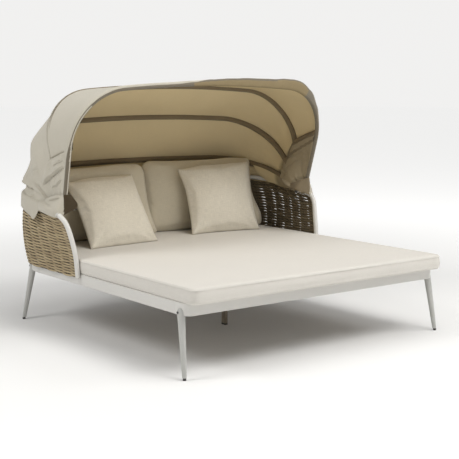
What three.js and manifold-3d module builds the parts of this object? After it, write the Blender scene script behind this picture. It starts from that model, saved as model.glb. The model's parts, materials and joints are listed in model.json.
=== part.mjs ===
// Outdoor daybed with a folding canopy over a woven back.
// Millimetres. +X runs to the right along the front rail, +Y to the back, +Z up.
// The origin is on the floor under the centre leg.
import * as THREE from 'three';
import { mergeVertices } from 'three/addons/utils/BufferGeometryUtils.js';
import Module from 'manifold-3d';

const wasm = await Module();
wasm.setup();

// Clearances and cuts
const seatGap = 0.3;
const cutOverrun = 6;

// Bed frame, a ring of rectangular tube
const frameHalfWidth = 874;
const frameFront = 858;
const frameBack = 918;
const frameBottom = 310;
const railDepth = 64;
const railThickness = 30;
const railChamfer = 4;
const frontCornerRadius = 50;
const rearCornerRadius = 200;
const railReturn = 46;

// Slats on ledges and a centre beam
const slatWidth = 70;
const slatThickness = 18;
const slatPitch = 140;
const slatFrontInset = 78;
const slatEndGap = 2;
const ledgeWidth = 22;
const ledgeThickness = 4;
const beamWidth = 40;
const beamDepth = 38;

// Corner legs, round and tapered, bolted to the outside of the frame
const footOut = 14;
const frontFootAhead = 3;
const rearFootInset = 57;
const frontLegLeanX = 20;
const frontLegLeanY = 56;
const rearLegLeanX = 66;
const rearLegLeanY = 17;
const legLap = 34;
const legTopRadius = 20;
const legFootRadius = 11;
const glideRadius = 9;
const glideHeight = 12;
const boltRise = 17;
const boltHeadRadius = 6;
const boltHeadThickness = 4;
const boltShankRadius = 3.5;
const boltDepth = 14;
const spotFaceDepth = 1;
const legDomeShare = 0.7;

// Centre leg, a flat post
const centreLegLength = 36;
const centreLegWidth = 20;
const centreGlideHeight = 8;

// Arm and back hoop, one bent round tube. Rises are above the frame's top, outs beyond its side.
const hoopTubeRadius = 14;
const armFootDrop = 22;
const armFootY = 178;
const armShinY = 189;
const armShinOut = 19;
const armShinRise = 101;
const armKneeY = 213;
const armKneeOut = 30;
const armKneeRise = 196;
const armBendY = 241;
const armBendOut = 45;
const armBendRise = 276;
const armElbowY = 284;
const armElbowOut = 60;
const armElbowRise = 318;
const hoopFront = 332;
const hoopOut = 64;
const hoopRise = 339;
const hoopBackOut = 57;
const hoopCornerRadius = 345;
const hoopSlopeShare = 0.139;
const hoopEase = 250;
const armSteps = 12;
const hoopSteps = 38;
const hoopHalfSides = 4;

// Woven shell between the frame and the hoop
const shellThickness = 9;
const shellDrop = 22;
const shellBulge = 32;
const weaveDepth = 2.4;
const stakePitch = 100;
const strandPitch = 20;

// Canopy bows and their common pivot, near the front of the hoop
const pivotAhead = 22;
const pivotRise = 17;
const pivotInset = 44;
const bowTubeRadius = 9.5;
const bowCrownBehind = 30.7;
const bowInset = 33;
const crownHalfWidth = 600;
const crownDrop = 26;
const bowStack = 19.6;
const flareRun = 205;
const eyeRadius = 14;
const eyeThickness = 14;
const neckLength = 12;
const washerRadius = 11;
const pinRadius = 5;
const pinHoleRadius = 5.4;
const knobRadius = 13;
const knobThickness = 9;
const frontBowAngle = 105.5;
const secondBowAngle = 69.5;
const thirdBowAngle = 41.5;
const rearBowAngle = 15.5;

// Hinge clamps on the arms
const clampRadius = 19;
const clampLength = 38;
const lugThickness = 15;

// Canopy cloth
const clothThickness = 3;
const clothGap = 0.6;
const skirtGap = 0.9;
const clothStart = 34;
const clothSag = 7;
const foldDepth = 6;
const foldRun = 330;
const foldPitch = 95;
const skirtStart = 352;
const hemFrontDrop = 26;
const hemBackDrop = 68;
const hemSplit = 500;
const hemFlare = 8;
const hemStandOff = 5;
const leavingShare = 0.04;

// Mattress
const mattressSideInset = 2;
const mattressAhead = 60;
const mattressBackInset = 34;
const mattressHeight = 80;
const mattressEdgeRadius = 9;
const mattressFrontRadius = 36;
const mattressRearRadius = 168;

// Loose cushions: two long ones ahead of the rear bow and two square ones ahead of those
const backCushionInset = 48;
const backCushionHeight = 450;
const backCushionThickness = 140;
const leftCushionInset = 64;
const leftCushionAhead = 176;
const leftCushionTurn = 4;
const rightCushionInset = 12;
const rightCushionAhead = 169;
const rightCushionTurn = -8;
const backCushionLean = 11;
const pillowWidth = 492;
const pillowHeight = 478;
const pillowThickness = 124;
const crownShare = 0.42;
const drawnInShare = 0.05;
const seamShare = 0.06;
const pillowSteps = 10;
const leftPillowOut = 8;
const leftPillowAhead = 283;
const leftPillowLean = 34;
const leftPillowTurn = 4;
const rightPillowOut = 46;
const rightPillowAhead = 214;
const rightPillowLean = 22;
const rightPillowTurn = -8;

const finish = (color, roughness, metalness = 0) =>
  new THREE.MeshStandardMaterial({ color, roughness, metalness });
const whitePaint = finish(0xeceae6, 0.42, 0.1);
const legPaint = finish(0xd9dbd8, 0.4, 0.15);
const taupePaint = finish(0x7d7161, 0.5, 0.1);
const darkPlastic = finish(0x4a4a48, 0.6);
const steel = finish(0xb8b9ba, 0.3, 0.9);
const wicker = finish(0xa39073, 0.75);
const canopyCloth = finish(0xd8d3c4, 0.9);
const mattressCloth = finish(0xe6e2da, 0.92);
const cushionCloth = finish(0xb9b09a, 0.93);
const pillowCloth = finish(0xd0c8b5, 0.93);

// Heights and widths that several pieces share
const frameTop = frameBottom + railDepth;
const armFootX = frameHalfWidth + hoopTubeRadius + 2 * seatGap;
const hoopHalfWidth = frameHalfWidth + hoopOut;
const hoopBack = frameBack + hoopBackOut;
const hoopFrontHeight = frameTop + hoopRise;
const pivotY = hoopFront - pivotAhead;
const pivotZ = hoopFrontHeight + pivotRise;
const bowFootX = hoopHalfWidth - pivotInset;
const bowHalfWidth = hoopHalfWidth - bowInset;
const bowCrownRun = hoopBack + bowCrownBehind - pivotY;
const bowReach = bowCrownRun / Math.cos(THREE.MathUtils.degToRad(rearBowAngle));
const footX = frameHalfWidth + footOut;
const legTopHeight = frameBottom + legLap;
const boltHeight = frameBottom + boltRise;
const mattressHalfWidth = frameHalfWidth - mattressSideInset;
const backCushionWidth = mattressHalfWidth - backCushionInset;

const daybed = new THREE.Group();

function put(name, geometry, material, parent = daybed) {
  const mesh = new THREE.Mesh(geometry, material);
  mesh.name = name;
  parent.add(mesh);
  return mesh;
}

// A three.js geometry as a solid that can be cut and joined, and back again
function toSolid(geometry) {
  const bare = geometry.clone();
  bare.deleteAttribute('normal');
  bare.deleteAttribute('uv');
  const merged = mergeVertices(bare);
  return new wasm.Manifold(new wasm.Mesh({
    numProp: 3,
    vertProperties: new Float32Array(merged.attributes.position.array),
    triVerts: new Uint32Array(merged.index.array),
  }));
}

function toGeometry(solid) {
  const mesh = solid.getMesh();
  const geometry = new THREE.BufferGeometry();
  geometry.setAttribute('position', new THREE.BufferAttribute(mesh.vertProperties, mesh.numProp));
  geometry.setIndex(new THREE.BufferAttribute(mesh.triVerts, 1));
  return geometry;
}

// A straight block between its limits along each axis
function block([x0, x1], [y0, y1], [z0, z1]) {
  const box = new THREE.BoxGeometry(Math.abs(x1 - x0), Math.abs(y1 - y0), Math.abs(z1 - z0));
  return box.translate((x0 + x1) / 2, (y0 + y1) / 2, (z0 + z1) / 2);
}

// A cylinder along X between two places
function rodAlongX(radius, fromX, toX, y, z, sides = 14) {
  const rod = new THREE.CylinderGeometry(radius, radius, Math.abs(toX - fromX), sides);
  return rod.rotateZ(Math.PI / 2).translate((fromX + toX) / 2, y, z);
}

// A path whose steps stand where the bends need them
class StationPath extends THREE.Curve {
  constructor(stations) {
    super();
    this.stations = stations;
  }

  getUtoTmapping(share) {
    return share;
  }

  getPoint(share, target = new THREE.Vector3()) {
    const last = this.stations.length - 1;
    const index = Math.min(Math.floor(share * last + Number.EPSILON * last), last - 1);
    return target.lerpVectors(this.stations[index], this.stations[index + 1], share * last - index);
  }

  getTangent(share, target = new THREE.Vector3()) {
    const last = this.stations.length - 1;
    const index = Math.round(share * last);
    const before = this.stations[Math.max(index - 1, 0)];
    const here = this.stations[index];
    const after = this.stations[Math.min(index + 1, last)];
    const into = here.clone().sub(before).normalize();
    const out = after.clone().sub(here).normalize();
    return target.copy(into.add(out)).normalize();
  }
}

function bentTube(radius, stations, halfSides = 4) {
  const section = new THREE.Shape().absarc(0, 0, radius, 0, 2 * Math.PI);
  return new THREE.ExtrudeGeometry(section, {
    steps: stations.length - 1,
    curveSegments: halfSides,
    extrudePath: new StationPath(stations),
  });
}

// A closed skin between an outer and an inner grid of points
function closedSkin(columns, rows, outerPoint, innerPoint) {
  const points = [];
  const index = [];
  for (const side of [outerPoint, innerPoint]) {
    for (let row = 0; row <= rows; row += 1) {
      for (let column = 0; column <= columns; column += 1) {
        points.push(side(column, row));
      }
    }
  }
  const at = (side, column, row) => (side * (rows + 1) + row) * (columns + 1) + column;
  const quad = (a, b, c, d) => index.push(a, b, c, a, c, d);
  for (let row = 0; row < rows; row += 1) {
    for (let column = 0; column < columns; column += 1) {
      quad(at(0, column, row), at(0, column + 1, row), at(0, column + 1, row + 1), at(0, column, row + 1));
      quad(at(1, column, row), at(1, column, row + 1), at(1, column + 1, row + 1), at(1, column + 1, row));
    }
  }
  for (let column = 0; column < columns; column += 1) {
    quad(at(0, column, 0), at(1, column, 0), at(1, column + 1, 0), at(0, column + 1, 0));
    quad(at(0, column, rows), at(0, column + 1, rows), at(1, column + 1, rows), at(1, column, rows));
  }
  for (let row = 0; row < rows; row += 1) {
    quad(at(0, 0, row), at(0, 0, row + 1), at(1, 0, row + 1), at(1, 0, row));
    quad(at(0, columns, row), at(1, columns, row), at(1, columns, row + 1), at(0, columns, row + 1));
  }
  const geometry = new THREE.BufferGeometry().setFromPoints(points);
  geometry.setIndex(facingOut(points, index));
  return geometry;
}

// Turns every triangle round where the grid was laid out the other way
function facingOut(points, index) {
  let volume = 0;
  for (let i = 0; i < index.length; i += 3) {
    const [a, b, c] = [points[index[i]], points[index[i + 1]], points[index[i + 2]]];
    volume += a.dot(b.clone().cross(c));
  }
  return volume > 0 ? index : index.reverse();
}

// Place and outward direction along a U that is open to the front
function aroundBack(share, halfWidth, back, radius, front) {
  const straight = halfWidth - radius;
  const bend = radius * Math.PI / 2;
  const side = back - radius - front;
  const hand = share < 0.5 ? -1 : 1;
  const along = Math.abs(2 * share - 1) * (straight + bend + side);
  if (along <= straight) {
    return { x: hand * along, y: back, outX: 0, outY: 1 };
  }
  if (along <= straight + bend) {
    const turn = (along - straight) / radius;
    const outX = hand * Math.sin(turn);
    const outY = Math.cos(turn);
    return { x: hand * straight + radius * outX, y: back - radius + radius * outY, outX, outY };
  }
  return { x: hand * halfWidth, y: back - radius - (along - straight - bend), outX: hand, outY: 0 };
}

// Frame rails
function cornerRail(face, radius) {
  const half = frameHalfWidth;
  const inner = half - railThickness;
  const innerRadius = radius - railThickness;
  const joint = face - radius - railReturn;
  const start = joint - cutOverrun;
  const plan = new THREE.Shape();
  plan.moveTo(half, start);
  plan.lineTo(half, face - radius);
  plan.absarc(half - radius, face - radius, radius, 0, Math.PI / 2);
  plan.lineTo(-half + radius, face);
  plan.absarc(-half + radius, face - radius, radius, Math.PI / 2, Math.PI);
  plan.lineTo(-half, start);
  plan.lineTo(-inner, start);
  plan.lineTo(-inner, face - radius);
  plan.absarc(-half + radius, face - radius, innerRadius, Math.PI, Math.PI / 2, true);
  plan.lineTo(half - radius, face - railThickness);
  plan.absarc(half - radius, face - radius, innerRadius, Math.PI / 2, 0, true);
  plan.lineTo(inner, start);
  plan.closePath();
  const rail = new THREE.ExtrudeGeometry(plan, {
    depth: railDepth - 2 * railChamfer,
    curveSegments: 8,
    bevelSegments: 1,
    bevelSize: railChamfer,
    bevelThickness: railChamfer,
    bevelOffset: -railChamfer,
  }).translate(0, 0, frameBottom + railChamfer);
  const waste = block(
    [-half - cutOverrun, half + cutOverrun],
    [start - cutOverrun, joint + seatGap / 2],
    [frameBottom - cutOverrun, frameTop + cutOverrun],
  );
  return toSolid(rail).subtract(toSolid(waste));
}

function sideRail(hand) {
  const low = -railThickness / 2;
  const section = new THREE.Shape();
  section.moveTo(low + railChamfer, frameBottom);
  section.lineTo(-low - railChamfer, frameBottom);
  section.lineTo(-low, frameBottom + railChamfer);
  section.lineTo(-low, frameTop - railChamfer);
  section.lineTo(-low - railChamfer, frameTop);
  section.lineTo(low + railChamfer, frameTop);
  section.lineTo(low, frameTop - railChamfer);
  section.lineTo(low, frameBottom + railChamfer);
  section.closePath();
  const from = -frameFront + frontCornerRadius + railReturn;
  const to = frameBack - rearCornerRadius - railReturn;
  const rail = new THREE.ExtrudeGeometry(section, { depth: to - from - seatGap, bevelEnabled: false });
  rail.rotateX(Math.PI / 2).translate(0, to - seatGap / 2, 0);
  return rail.translate(hand * (frameHalfWidth - railThickness / 2), 0, 0);
}

function buildRails() {
  let front = cornerRail(frameFront, frontCornerRadius).rotate([0, 0, 180]);
  let rear = cornerRail(frameBack, rearCornerRadius);
  for (const handX of [-1, 1]) {
    front = front.subtract(toSolid(boltShank(handX, -1, boltShankRadius + seatGap)));
    rear = rear.subtract(toSolid(boltShank(handX, 1, boltShankRadius + seatGap)));
  }
  put('front_rail', toGeometry(front), whitePaint);
  put('rear_rail', toGeometry(rear), whitePaint);
  put('side_rail_left', sideRail(-1), whitePaint);
  put('side_rail_right', sideRail(1), whitePaint);
}

// Slats, ledges and the centre beam
const slatTop = frameTop;
const slatBottom = slatTop - slatThickness;

// Half the clear width between the rails at a distance from the front
function clearHalfWidth(y) {
  const inner = frameHalfWidth - railThickness;
  const past = y - (frameBack - rearCornerRadius);
  const bend = rearCornerRadius - railThickness;
  if (past <= 0) {
    return inner;
  }
  return inner - bend + Math.sqrt(Math.max(bend * bend - past * past, 0));
}

function buildSlats() {
  const rearLimit = frameBack - railThickness - slatWidth - slatEndGap;
  let number = 0;
  for (let y = slatFrontInset - frameFront; y <= rearLimit; y += slatPitch) {
    number += 1;
    const half = clearHalfWidth(y + slatWidth / 2) - slatEndGap;
    const slat = new THREE.BoxGeometry(2 * half, slatWidth, slatThickness);
    slat.translate(0, y, slatTop - slatThickness / 2);
    put(`slat_${String(number).padStart(2, '0')}`, slat, taupePaint);
  }
}

function buildLedges() {
  const inner = frameHalfWidth - railThickness - seatGap;
  const top = slatBottom - seatGap;
  const along = [-frameFront + frontCornerRadius, frameBack - rearCornerRadius];
  const high = [top - ledgeThickness, top];
  put('slat_ledge_left', block([-inner, ledgeWidth - inner], along, high), whitePaint);
  put('slat_ledge_right', block([inner - ledgeWidth, inner], along, high), whitePaint);
}

function buildCentre() {
  const top = slatBottom - seatGap;
  const underBeam = top - beamDepth;
  const halfLeg = [-centreLegWidth / 2, centreLegWidth / 2];
  const longLeg = [-centreLegLength / 2, centreLegLength / 2];
  const along = [-frameFront + railThickness + seatGap, frameBack - railThickness - seatGap];
  put('centre_beam', block([-beamWidth / 2, beamWidth / 2], along, [underBeam, top]), whitePaint);
  put('centre_leg', block(halfLeg, longLeg, [centreGlideHeight + seatGap, underBeam - seatGap]),
    taupePaint);
  put('centre_leg_glide', block(halfLeg, longLeg, [0, centreGlideHeight]), darkPlastic);
}

// Corner legs, notched round the outside of the frame
function frameEnvelope() {
  const half = frameHalfWidth + seatGap;
  const plan = new THREE.Shape();
  const front = -frameFront - seatGap;
  const back = frameBack + seatGap;
  const frontRadius = frontCornerRadius + seatGap;
  const rearRadius = rearCornerRadius + seatGap;
  plan.moveTo(half, front + frontRadius);
  plan.lineTo(half, back - rearRadius);
  plan.absarc(half - rearRadius, back - rearRadius, rearRadius, 0, Math.PI / 2);
  plan.absarc(-half + rearRadius, back - rearRadius, rearRadius, Math.PI / 2, Math.PI);
  plan.absarc(-half + frontRadius, front + frontRadius, frontRadius, Math.PI, 1.5 * Math.PI);
  plan.absarc(half - frontRadius, front + frontRadius, frontRadius, 1.5 * Math.PI, 2 * Math.PI);
  const envelope = new THREE.ExtrudeGeometry(plan, {
    depth: railDepth + seatGap + cutOverrun,
    curveSegments: 12,
    bevelEnabled: false,
  }).translate(0, 0, frameBottom - seatGap);
  return toSolid(envelope);
}

function legAxis(handX, handY) {
  const leanX = handY < 0 ? frontLegLeanX : rearLegLeanX;
  const leanY = handY < 0 ? frontLegLeanY : rearLegLeanY;
  const footY = handY < 0 ? frameFront + frontFootAhead : frameBack - rearFootInset;
  const foot = new THREE.Vector3(handX * footX, handY * footY, 0);
  const top = new THREE.Vector3(handX * (footX - leanX), handY * (footY - leanY), legTopHeight);
  return { foot, top };
}

// Where a leg's bolt crosses the leg's axis, and the way out of the frame there
function boltPlace(handX, handY) {
  const { foot, top } = legAxis(handX, handY);
  const centre = foot.lerp(top, boltHeight / legTopHeight);
  const radius = handY < 0 ? frontCornerRadius : rearCornerRadius;
  const cornerX = frameHalfWidth - radius;
  const cornerY = (handY < 0 ? frameFront : frameBack) - radius;
  const outX = Math.abs(centre.x) - cornerX;
  const outY = Math.max(Math.abs(centre.y) - cornerY, 0);
  const out = new THREE.Vector3(handX * outX, handY * outY, 0);
  const face = radius - out.length();
  return { centre, out: out.normalize(), face };
}

// A cylinder from one distance to another along the bolt's line
function onBoltLine(handX, handY, radius, from, to) {
  const { centre, out } = boltPlace(handX, handY);
  const rod = new THREE.CylinderGeometry(radius, radius, to - from, 12);
  const turn = new THREE.Quaternion().setFromUnitVectors(new THREE.Vector3(0, 1, 0), out);
  const middle = centre.addScaledVector(out, (from + to) / 2);
  return rod.applyQuaternion(turn).translate(middle.x, middle.y, middle.z);
}

function boltShank(handX, handY, radius) {
  const { face } = boltPlace(handX, handY);
  const slack = radius - boltShankRadius;
  return onBoltLine(handX, handY, radius, face - boltDepth - slack, legTopRadius + cutOverrun);
}

function legSolid(foot, top) {
  const length = top.distanceTo(foot);
  const profile = [
    new THREE.Vector2(0, 0),
    new THREE.Vector2(legFootRadius, 0),
    new THREE.Vector2(legTopRadius, length - 2 * legTopRadius),
    new THREE.Vector2(legTopRadius, length - legTopRadius / 2),
    new THREE.Vector2(legTopRadius * legDomeShare, length),
    new THREE.Vector2(0, length),
  ];
  const upright = new THREE.Vector3(0, 1, 0);
  const turn = new THREE.Quaternion().setFromUnitVectors(upright, top.clone().sub(foot).normalize());
  const cone = new THREE.LatheGeometry(profile, 16).applyQuaternion(turn);
  return toSolid(cone.translate(foot.x, foot.y, foot.z));
}

function buildLegs() {
  const envelope = frameEnvelope();
  const wide = footX + frameHalfWidth;
  const floor = toSolid(block([-wide, wide], [-wide, wide], [-frameBottom, glideHeight + seatGap]));
  const ends = [['front', -1], ['rear', 1]];
  const sides = [['left', -1], ['right', 1]];
  for (const [end, handY] of ends) {
    for (const [side, handX] of sides) {
      const { foot, top } = legAxis(handX, handY);
      const hole = toSolid(boltShank(handX, handY, boltShankRadius + seatGap));
      const seat = legTopRadius - spotFaceDepth;
      const beyond = seat + boltHeadThickness + cutOverrun;
      const spotFace = toSolid(onBoltLine(handX, handY, boltHeadRadius + seatGap, seat, beyond));
      const cut = envelope.add(floor).add(hole).add(spotFace);
      const leg = legSolid(foot, top).subtract(cut);
      put(`leg_${end}_${side}`, toGeometry(leg), legPaint);
      const glide = new THREE.CylinderGeometry(glideRadius, glideRadius, glideHeight, 16);
      glide.rotateX(Math.PI / 2).translate(foot.x, foot.y, glideHeight / 2);
      put(`glide_${end}_${side}`, glide, darkPlastic);
      const { face } = boltPlace(handX, handY);
      const underHead = seat + seatGap;
      const overHead = underHead + boltHeadThickness;
      const shank = onBoltLine(handX, handY, boltShankRadius, face - boltDepth, underHead + spotFaceDepth);
      const head = onBoltLine(handX, handY, boltHeadRadius, underHead, overHead);
      put(`leg_bolt_${end}_${side}`, toGeometry(toSolid(shank).add(toSolid(head))), darkPlastic);
    }
  }
}

// Arm and back hoop
function armStations(hand) {
  const keys = [
    [armFootX, armFootY, frameTop - armFootDrop],
    [armFootX, armFootY, frameTop],
    [frameHalfWidth + armShinOut, armShinY, frameTop + armShinRise],
    [frameHalfWidth + armKneeOut, armKneeY, frameTop + armKneeRise],
    [frameHalfWidth + armBendOut, armBendY, frameTop + armBendRise],
    [frameHalfWidth + armElbowOut, armElbowY, frameTop + armElbowRise],
    [hoopHalfWidth, hoopFront, hoopFrontHeight],
  ].map(([x, y, z]) => new THREE.Vector3(hand * x, y, z));
  return new THREE.CatmullRomCurve3(keys, false, 'centripetal').getPoints(armSteps);
}

function hoopHeight(y) {
  const along = Math.max(y - hoopFront, 0);
  const eased = Math.max(y - hoopBack + hoopEase, 0);
  return hoopFrontHeight + hoopSlopeShare * (along - eased * eased / (2 * hoopEase));
}

function hoopPoint(share) {
  const { x, y } = aroundBack(share, hoopHalfWidth, hoopBack, hoopCornerRadius, hoopFront);
  return new THREE.Vector3(x, y, hoopHeight(y));
}

function hoopStations() {
  const round = [];
  for (let step = 1; step < hoopSteps; step += 1) {
    round.push(hoopPoint(step / hoopSteps));
  }
  return [...armStations(-1), ...round, ...armStations(1).reverse()];
}

function buildHoop() {
  put('back_hoop', bentTube(hoopTubeRadius, hoopStations(), hoopHalfSides), whitePaint);
}

// Woven shell. Its grid has a column at each stake and a row at each strand,
// and strands pass inside and outside the stakes by turns.
const shellBottom = frameTop - shellDrop;
const shellReach = hoopTubeRadius + weaveDepth + 2 * seatGap;

// The shell's front edge follows the arm, one tube radius behind it
function armEdges() {
  const stations = armStations(1);
  const edges = [];
  for (let i = 1; i < stations.length; i += 1) {
    const run = stations[i].clone().sub(stations[i - 1]);
    run.x = 0;
    run.normalize();
    const middle = stations[i].clone().add(stations[i - 1]).multiplyScalar(0.5);
    edges.push(new THREE.Vector3(middle.x, middle.y + run.z * shellReach, middle.z - run.y * shellReach));
  }
  return edges;
}

function edgeAt(edges, z) {
  const above = edges.findIndex((edge) => edge.z >= z);
  if (above <= 0) {
    return above < 0 ? edges[edges.length - 1] : edges[0];
  }
  const [low, high] = [edges[above - 1], edges[above]];
  return low.clone().lerp(high, (z - low.z) / (high.z - low.z));
}

function buildShell() {
  const edges = armEdges();
  const chordSag = stakePitch * stakePitch / (8 * rearCornerRadius);
  const inset = shellThickness / 2 + weaveDepth + chordSag + seatGap;
  const frontTop = hoopFrontHeight - shellReach;
  const run = 2 * (frameBack - armFootY) + 2 * frameHalfWidth;
  const columns = Math.round(run / stakePitch);
  const rows = Math.round((hoopHeight(hoopBack) - shellBottom) / strandPitch);
  const middleOf = (column, row) => {
    const rise = row / rows;
    const edge = edgeAt(edges, shellBottom + rise * (frontTop - shellBottom));
    const halfWidth = Math.max(edge.x, frameHalfWidth + inset);
    const back = THREE.MathUtils.lerp(frameBack + inset, hoopBack, rise);
    const radius = THREE.MathUtils.lerp(rearCornerRadius + inset, hoopCornerRadius, rise);
    const share = column / columns;
    const place = aroundBack(share, halfWidth, back, radius, edge.y);
    const top = hoopHeight(place.y) - shellReach;
    const fade = THREE.MathUtils.smoothstep(place.y, edge.y, back - radius);
    const bulge = 4 * rise * (1 - rise) * shellBulge * fade;
    const z = shellBottom + rise * (top - shellBottom);
    const middle = new THREE.Vector3(place.x + place.outX * bulge, place.y + place.outY * bulge, z);
    const out = new THREE.Vector3(place.outX, place.outY, 0);
    return { middle, out };
  };
  const side = (sign) => (column, row) => {
    const { middle, out } = middleOf(column, row);
    const onEdge = column === 0 || column === columns || row === 0 || row === rows;
    const weave = onEdge ? 0 : weaveDepth * ((column + row) % 2 === 0 ? 1 : -1);
    return middle.addScaledVector(out, sign * shellThickness / 2 + weave);
  };
  const room = clampSleeve(clampRadius + seatGap, clampLength + 2 * seatGap);
  let shell = toSolid(closedSkin(columns, rows, side(1), side(-1)));
  shell = shell.subtract(toSolid(room)).subtract(toSolid(mirrored(room)));
  put('wicker_shell', toGeometry(shell), wicker);
}

// Bow outline in its own plane: X across, and reach away from the pivot line
const crownSlope = Math.atan(2 * crownDrop / crownHalfWidth);
const bowCornerRadius = (bowHalfWidth - crownHalfWidth) / (1 - Math.sin(crownSlope));
const cornerCentreX = crownHalfWidth - bowCornerRadius * Math.sin(crownSlope);
const cornerCentreReach = bowReach - crownDrop - bowCornerRadius * Math.cos(crownSlope);

// Half an outline from the foot to the top of the crown, with outward directions
function bowOutline(sideSteps, cornerSteps, crownSteps, from) {
  const half = [];
  for (let step = 0; step < sideSteps; step += 1) {
    const reach = THREE.MathUtils.lerp(from, cornerCentreReach, step / sideSteps);
    const x = THREE.MathUtils.lerp(bowFootX, bowHalfWidth, reach / cornerCentreReach);
    half.push({ x, reach, outX: 1, outReach: 0 });
  }
  for (let step = 0; step < cornerSteps; step += 1) {
    const turn = (Math.PI / 2 - crownSlope) * step / cornerSteps;
    const outX = Math.cos(turn);
    const outReach = Math.sin(turn);
    const x = cornerCentreX + bowCornerRadius * outX;
    half.push({ x, reach: cornerCentreReach + bowCornerRadius * outReach, outX, outReach });
  }
  for (let step = 0; step <= crownSteps; step += 1) {
    const share = 1 - step / crownSteps;
    const slope = crownSlope * share;
    const reach = bowReach - crownDrop * share * share;
    half.push({ x: crownHalfWidth * share, reach, outX: Math.sin(slope), outReach: Math.cos(slope) });
  }
  return half;
}

function bothHands(half) {
  const left = half.map((station) => ({ ...station, x: -station.x, outX: -station.outX }));
  return [...left, ...half.slice(0, -1).reverse()];
}

// Each bow's foot stands one tube further in than the last, and they meet one width at the flare
function stackInset(order, reach) {
  const share = Math.min(reach / flareRun, 1);
  return order * bowStack * Math.sqrt(1 - share * share);
}

const bowSideSteps = 6;
const bowCornerSteps = 7;
const bowCrownSteps = 4;

function bowSolid(order) {
  const outline = bothHands(bowOutline(bowSideSteps, bowCornerSteps, bowCrownSteps, 0));
  const stations = outline.map(({ x, reach }) => {
    const inset = stackInset(order, reach);
    return new THREE.Vector3(x - Math.sign(x) * inset, reach, 0);
  });
  let bow = toSolid(bentTube(bowTubeRadius, stations));
  for (const hand of [-1, 1]) {
    const eyeX = hand * (bowFootX - stackInset(order, 0));
    const outer = eyeX + hand * eyeThickness / 2;
    const inner = eyeX - hand * eyeThickness / 2;
    const stub = block(
      [inner - hand * cutOverrun, outer + hand * cutOverrun],
      [-eyeRadius, eyeRadius],
      [-eyeRadius, eyeRadius],
    );
    const neck = block([inner, outer], [0, eyeRadius + neckLength], [-bowTubeRadius, bowTubeRadius]);
    bow = bow.subtract(toSolid(stub)).add(toSolid(neck));
    bow = bow.add(toSolid(rodAlongX(eyeRadius, inner, outer, 0, 0)));
    const hole = rodAlongX(pinHoleRadius, inner - hand * cutOverrun, outer + hand * cutOverrun, 0, 0);
    bow = bow.subtract(toSolid(hole));
  }
  return toGeometry(bow);
}

const bows = [
  { name: 'front', angle: frontBowAngle },
  { name: 'second', angle: secondBowAngle },
  { name: 'third', angle: thirdBowAngle },
  { name: 'rear', angle: rearBowAngle },
];

function buildBows() {
  bows.forEach(({ name, angle }, order) => {
    const plane = new THREE.Group();
    plane.position.set(0, pivotY, pivotZ);
    plane.rotation.x = THREE.MathUtils.degToRad(angle);
    daybed.add(plane);
    put(`bow_${name}`, bowSolid(order), whitePaint, plane);
  });
}

// Pivot hardware on each arm: clamp with lug, pin, washers and knob
function armCentreAt(y) {
  const stations = armStations(1);
  const above = stations.findIndex((station) => station.y >= y);
  const [low, high] = [stations[above - 1], stations[above]];
  const centre = low.clone().lerp(high, (y - low.y) / (high.y - low.y));
  return { centre, run: high.clone().sub(low).normalize() };
}

function clampSleeve(radius, length) {
  const { centre, run } = armCentreAt(pivotY);
  const turn = new THREE.Quaternion().setFromUnitVectors(new THREE.Vector3(0, 1, 0), run);
  const sleeve = new THREE.CylinderGeometry(radius, radius, length, 20);
  return sleeve.applyQuaternion(turn).translate(centre.x, centre.y, centre.z);
}

function clampSolid() {
  const { centre } = armCentreAt(pivotY);
  const sleeve = clampSleeve(clampRadius, clampLength);
  const lugInner = bowFootX + eyeThickness / 2 + seatGap + washerThickness + seatGap;
  const lugOuter = lugInner + lugThickness;
  const lug = rodAlongX(eyeRadius, lugInner, lugOuter, pivotY, pivotZ);
  const web = block(
    [lugInner, lugOuter],
    [pivotY - eyeRadius, pivotY + eyeRadius],
    [centre.z - eyeRadius / 2, pivotZ],
  );
  const pinHole = rodAlongX(pinHoleRadius, lugInner - cutOverrun, lugOuter + cutOverrun, pivotY, pivotZ);
  const bore = bentTube(hoopTubeRadius + seatGap, hoopStations(), hoopHalfSides);
  return toSolid(sleeve).add(toSolid(lug)).add(toSolid(web))
    .subtract(toSolid(bore)).subtract(toSolid(pinHole));
}

const washerThickness = bowStack - eyeThickness - 2 * seatGap;

function mirrored(geometry) {
  const copy = geometry.clone().scale(-1, 1, 1);
  const index = Array.from(copy.index.array).reverse();
  copy.setIndex(index);
  return copy;
}

function buildPivots() {
  const clamp = toGeometry(clampSolid());
  const knobOuter = bowFootX - 3 * bowStack - eyeThickness / 2 - seatGap;
  const pinOuter = bowFootX + eyeThickness / 2 + washerThickness + 2 * seatGap + lugThickness;
  const pin = toSolid(rodAlongX(pinRadius, knobOuter, pinOuter, pivotY, pivotZ))
    .add(toSolid(rodAlongX(knobRadius, knobOuter - knobThickness, knobOuter, pivotY, pivotZ)));
  const washer = (order) => {
    const inner = bowFootX - order * bowStack + eyeThickness / 2 + seatGap;
    const ring = toSolid(rodAlongX(washerRadius, inner, inner + washerThickness, pivotY, pivotZ));
    const over = [inner - cutOverrun, inner + washerThickness + cutOverrun];
    return toGeometry(ring.subtract(toSolid(rodAlongX(pinHoleRadius, ...over, pivotY, pivotZ))));
  };
  const pinGeometry = toGeometry(pin);
  for (const side of ['left', 'right']) {
    const handed = (geometry) => (side === 'left' ? mirrored(geometry) : geometry.clone());
    put(`hinge_clamp_${side}`, handed(clamp), steel);
    put(`pivot_pin_${side}`, handed(pinGeometry), darkPlastic);
    bows.forEach((bow, order) => {
      put(`pivot_washer_${bow.name}_${side}`, handed(washer(order)), darkPlastic);
    });
  }
}

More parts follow.
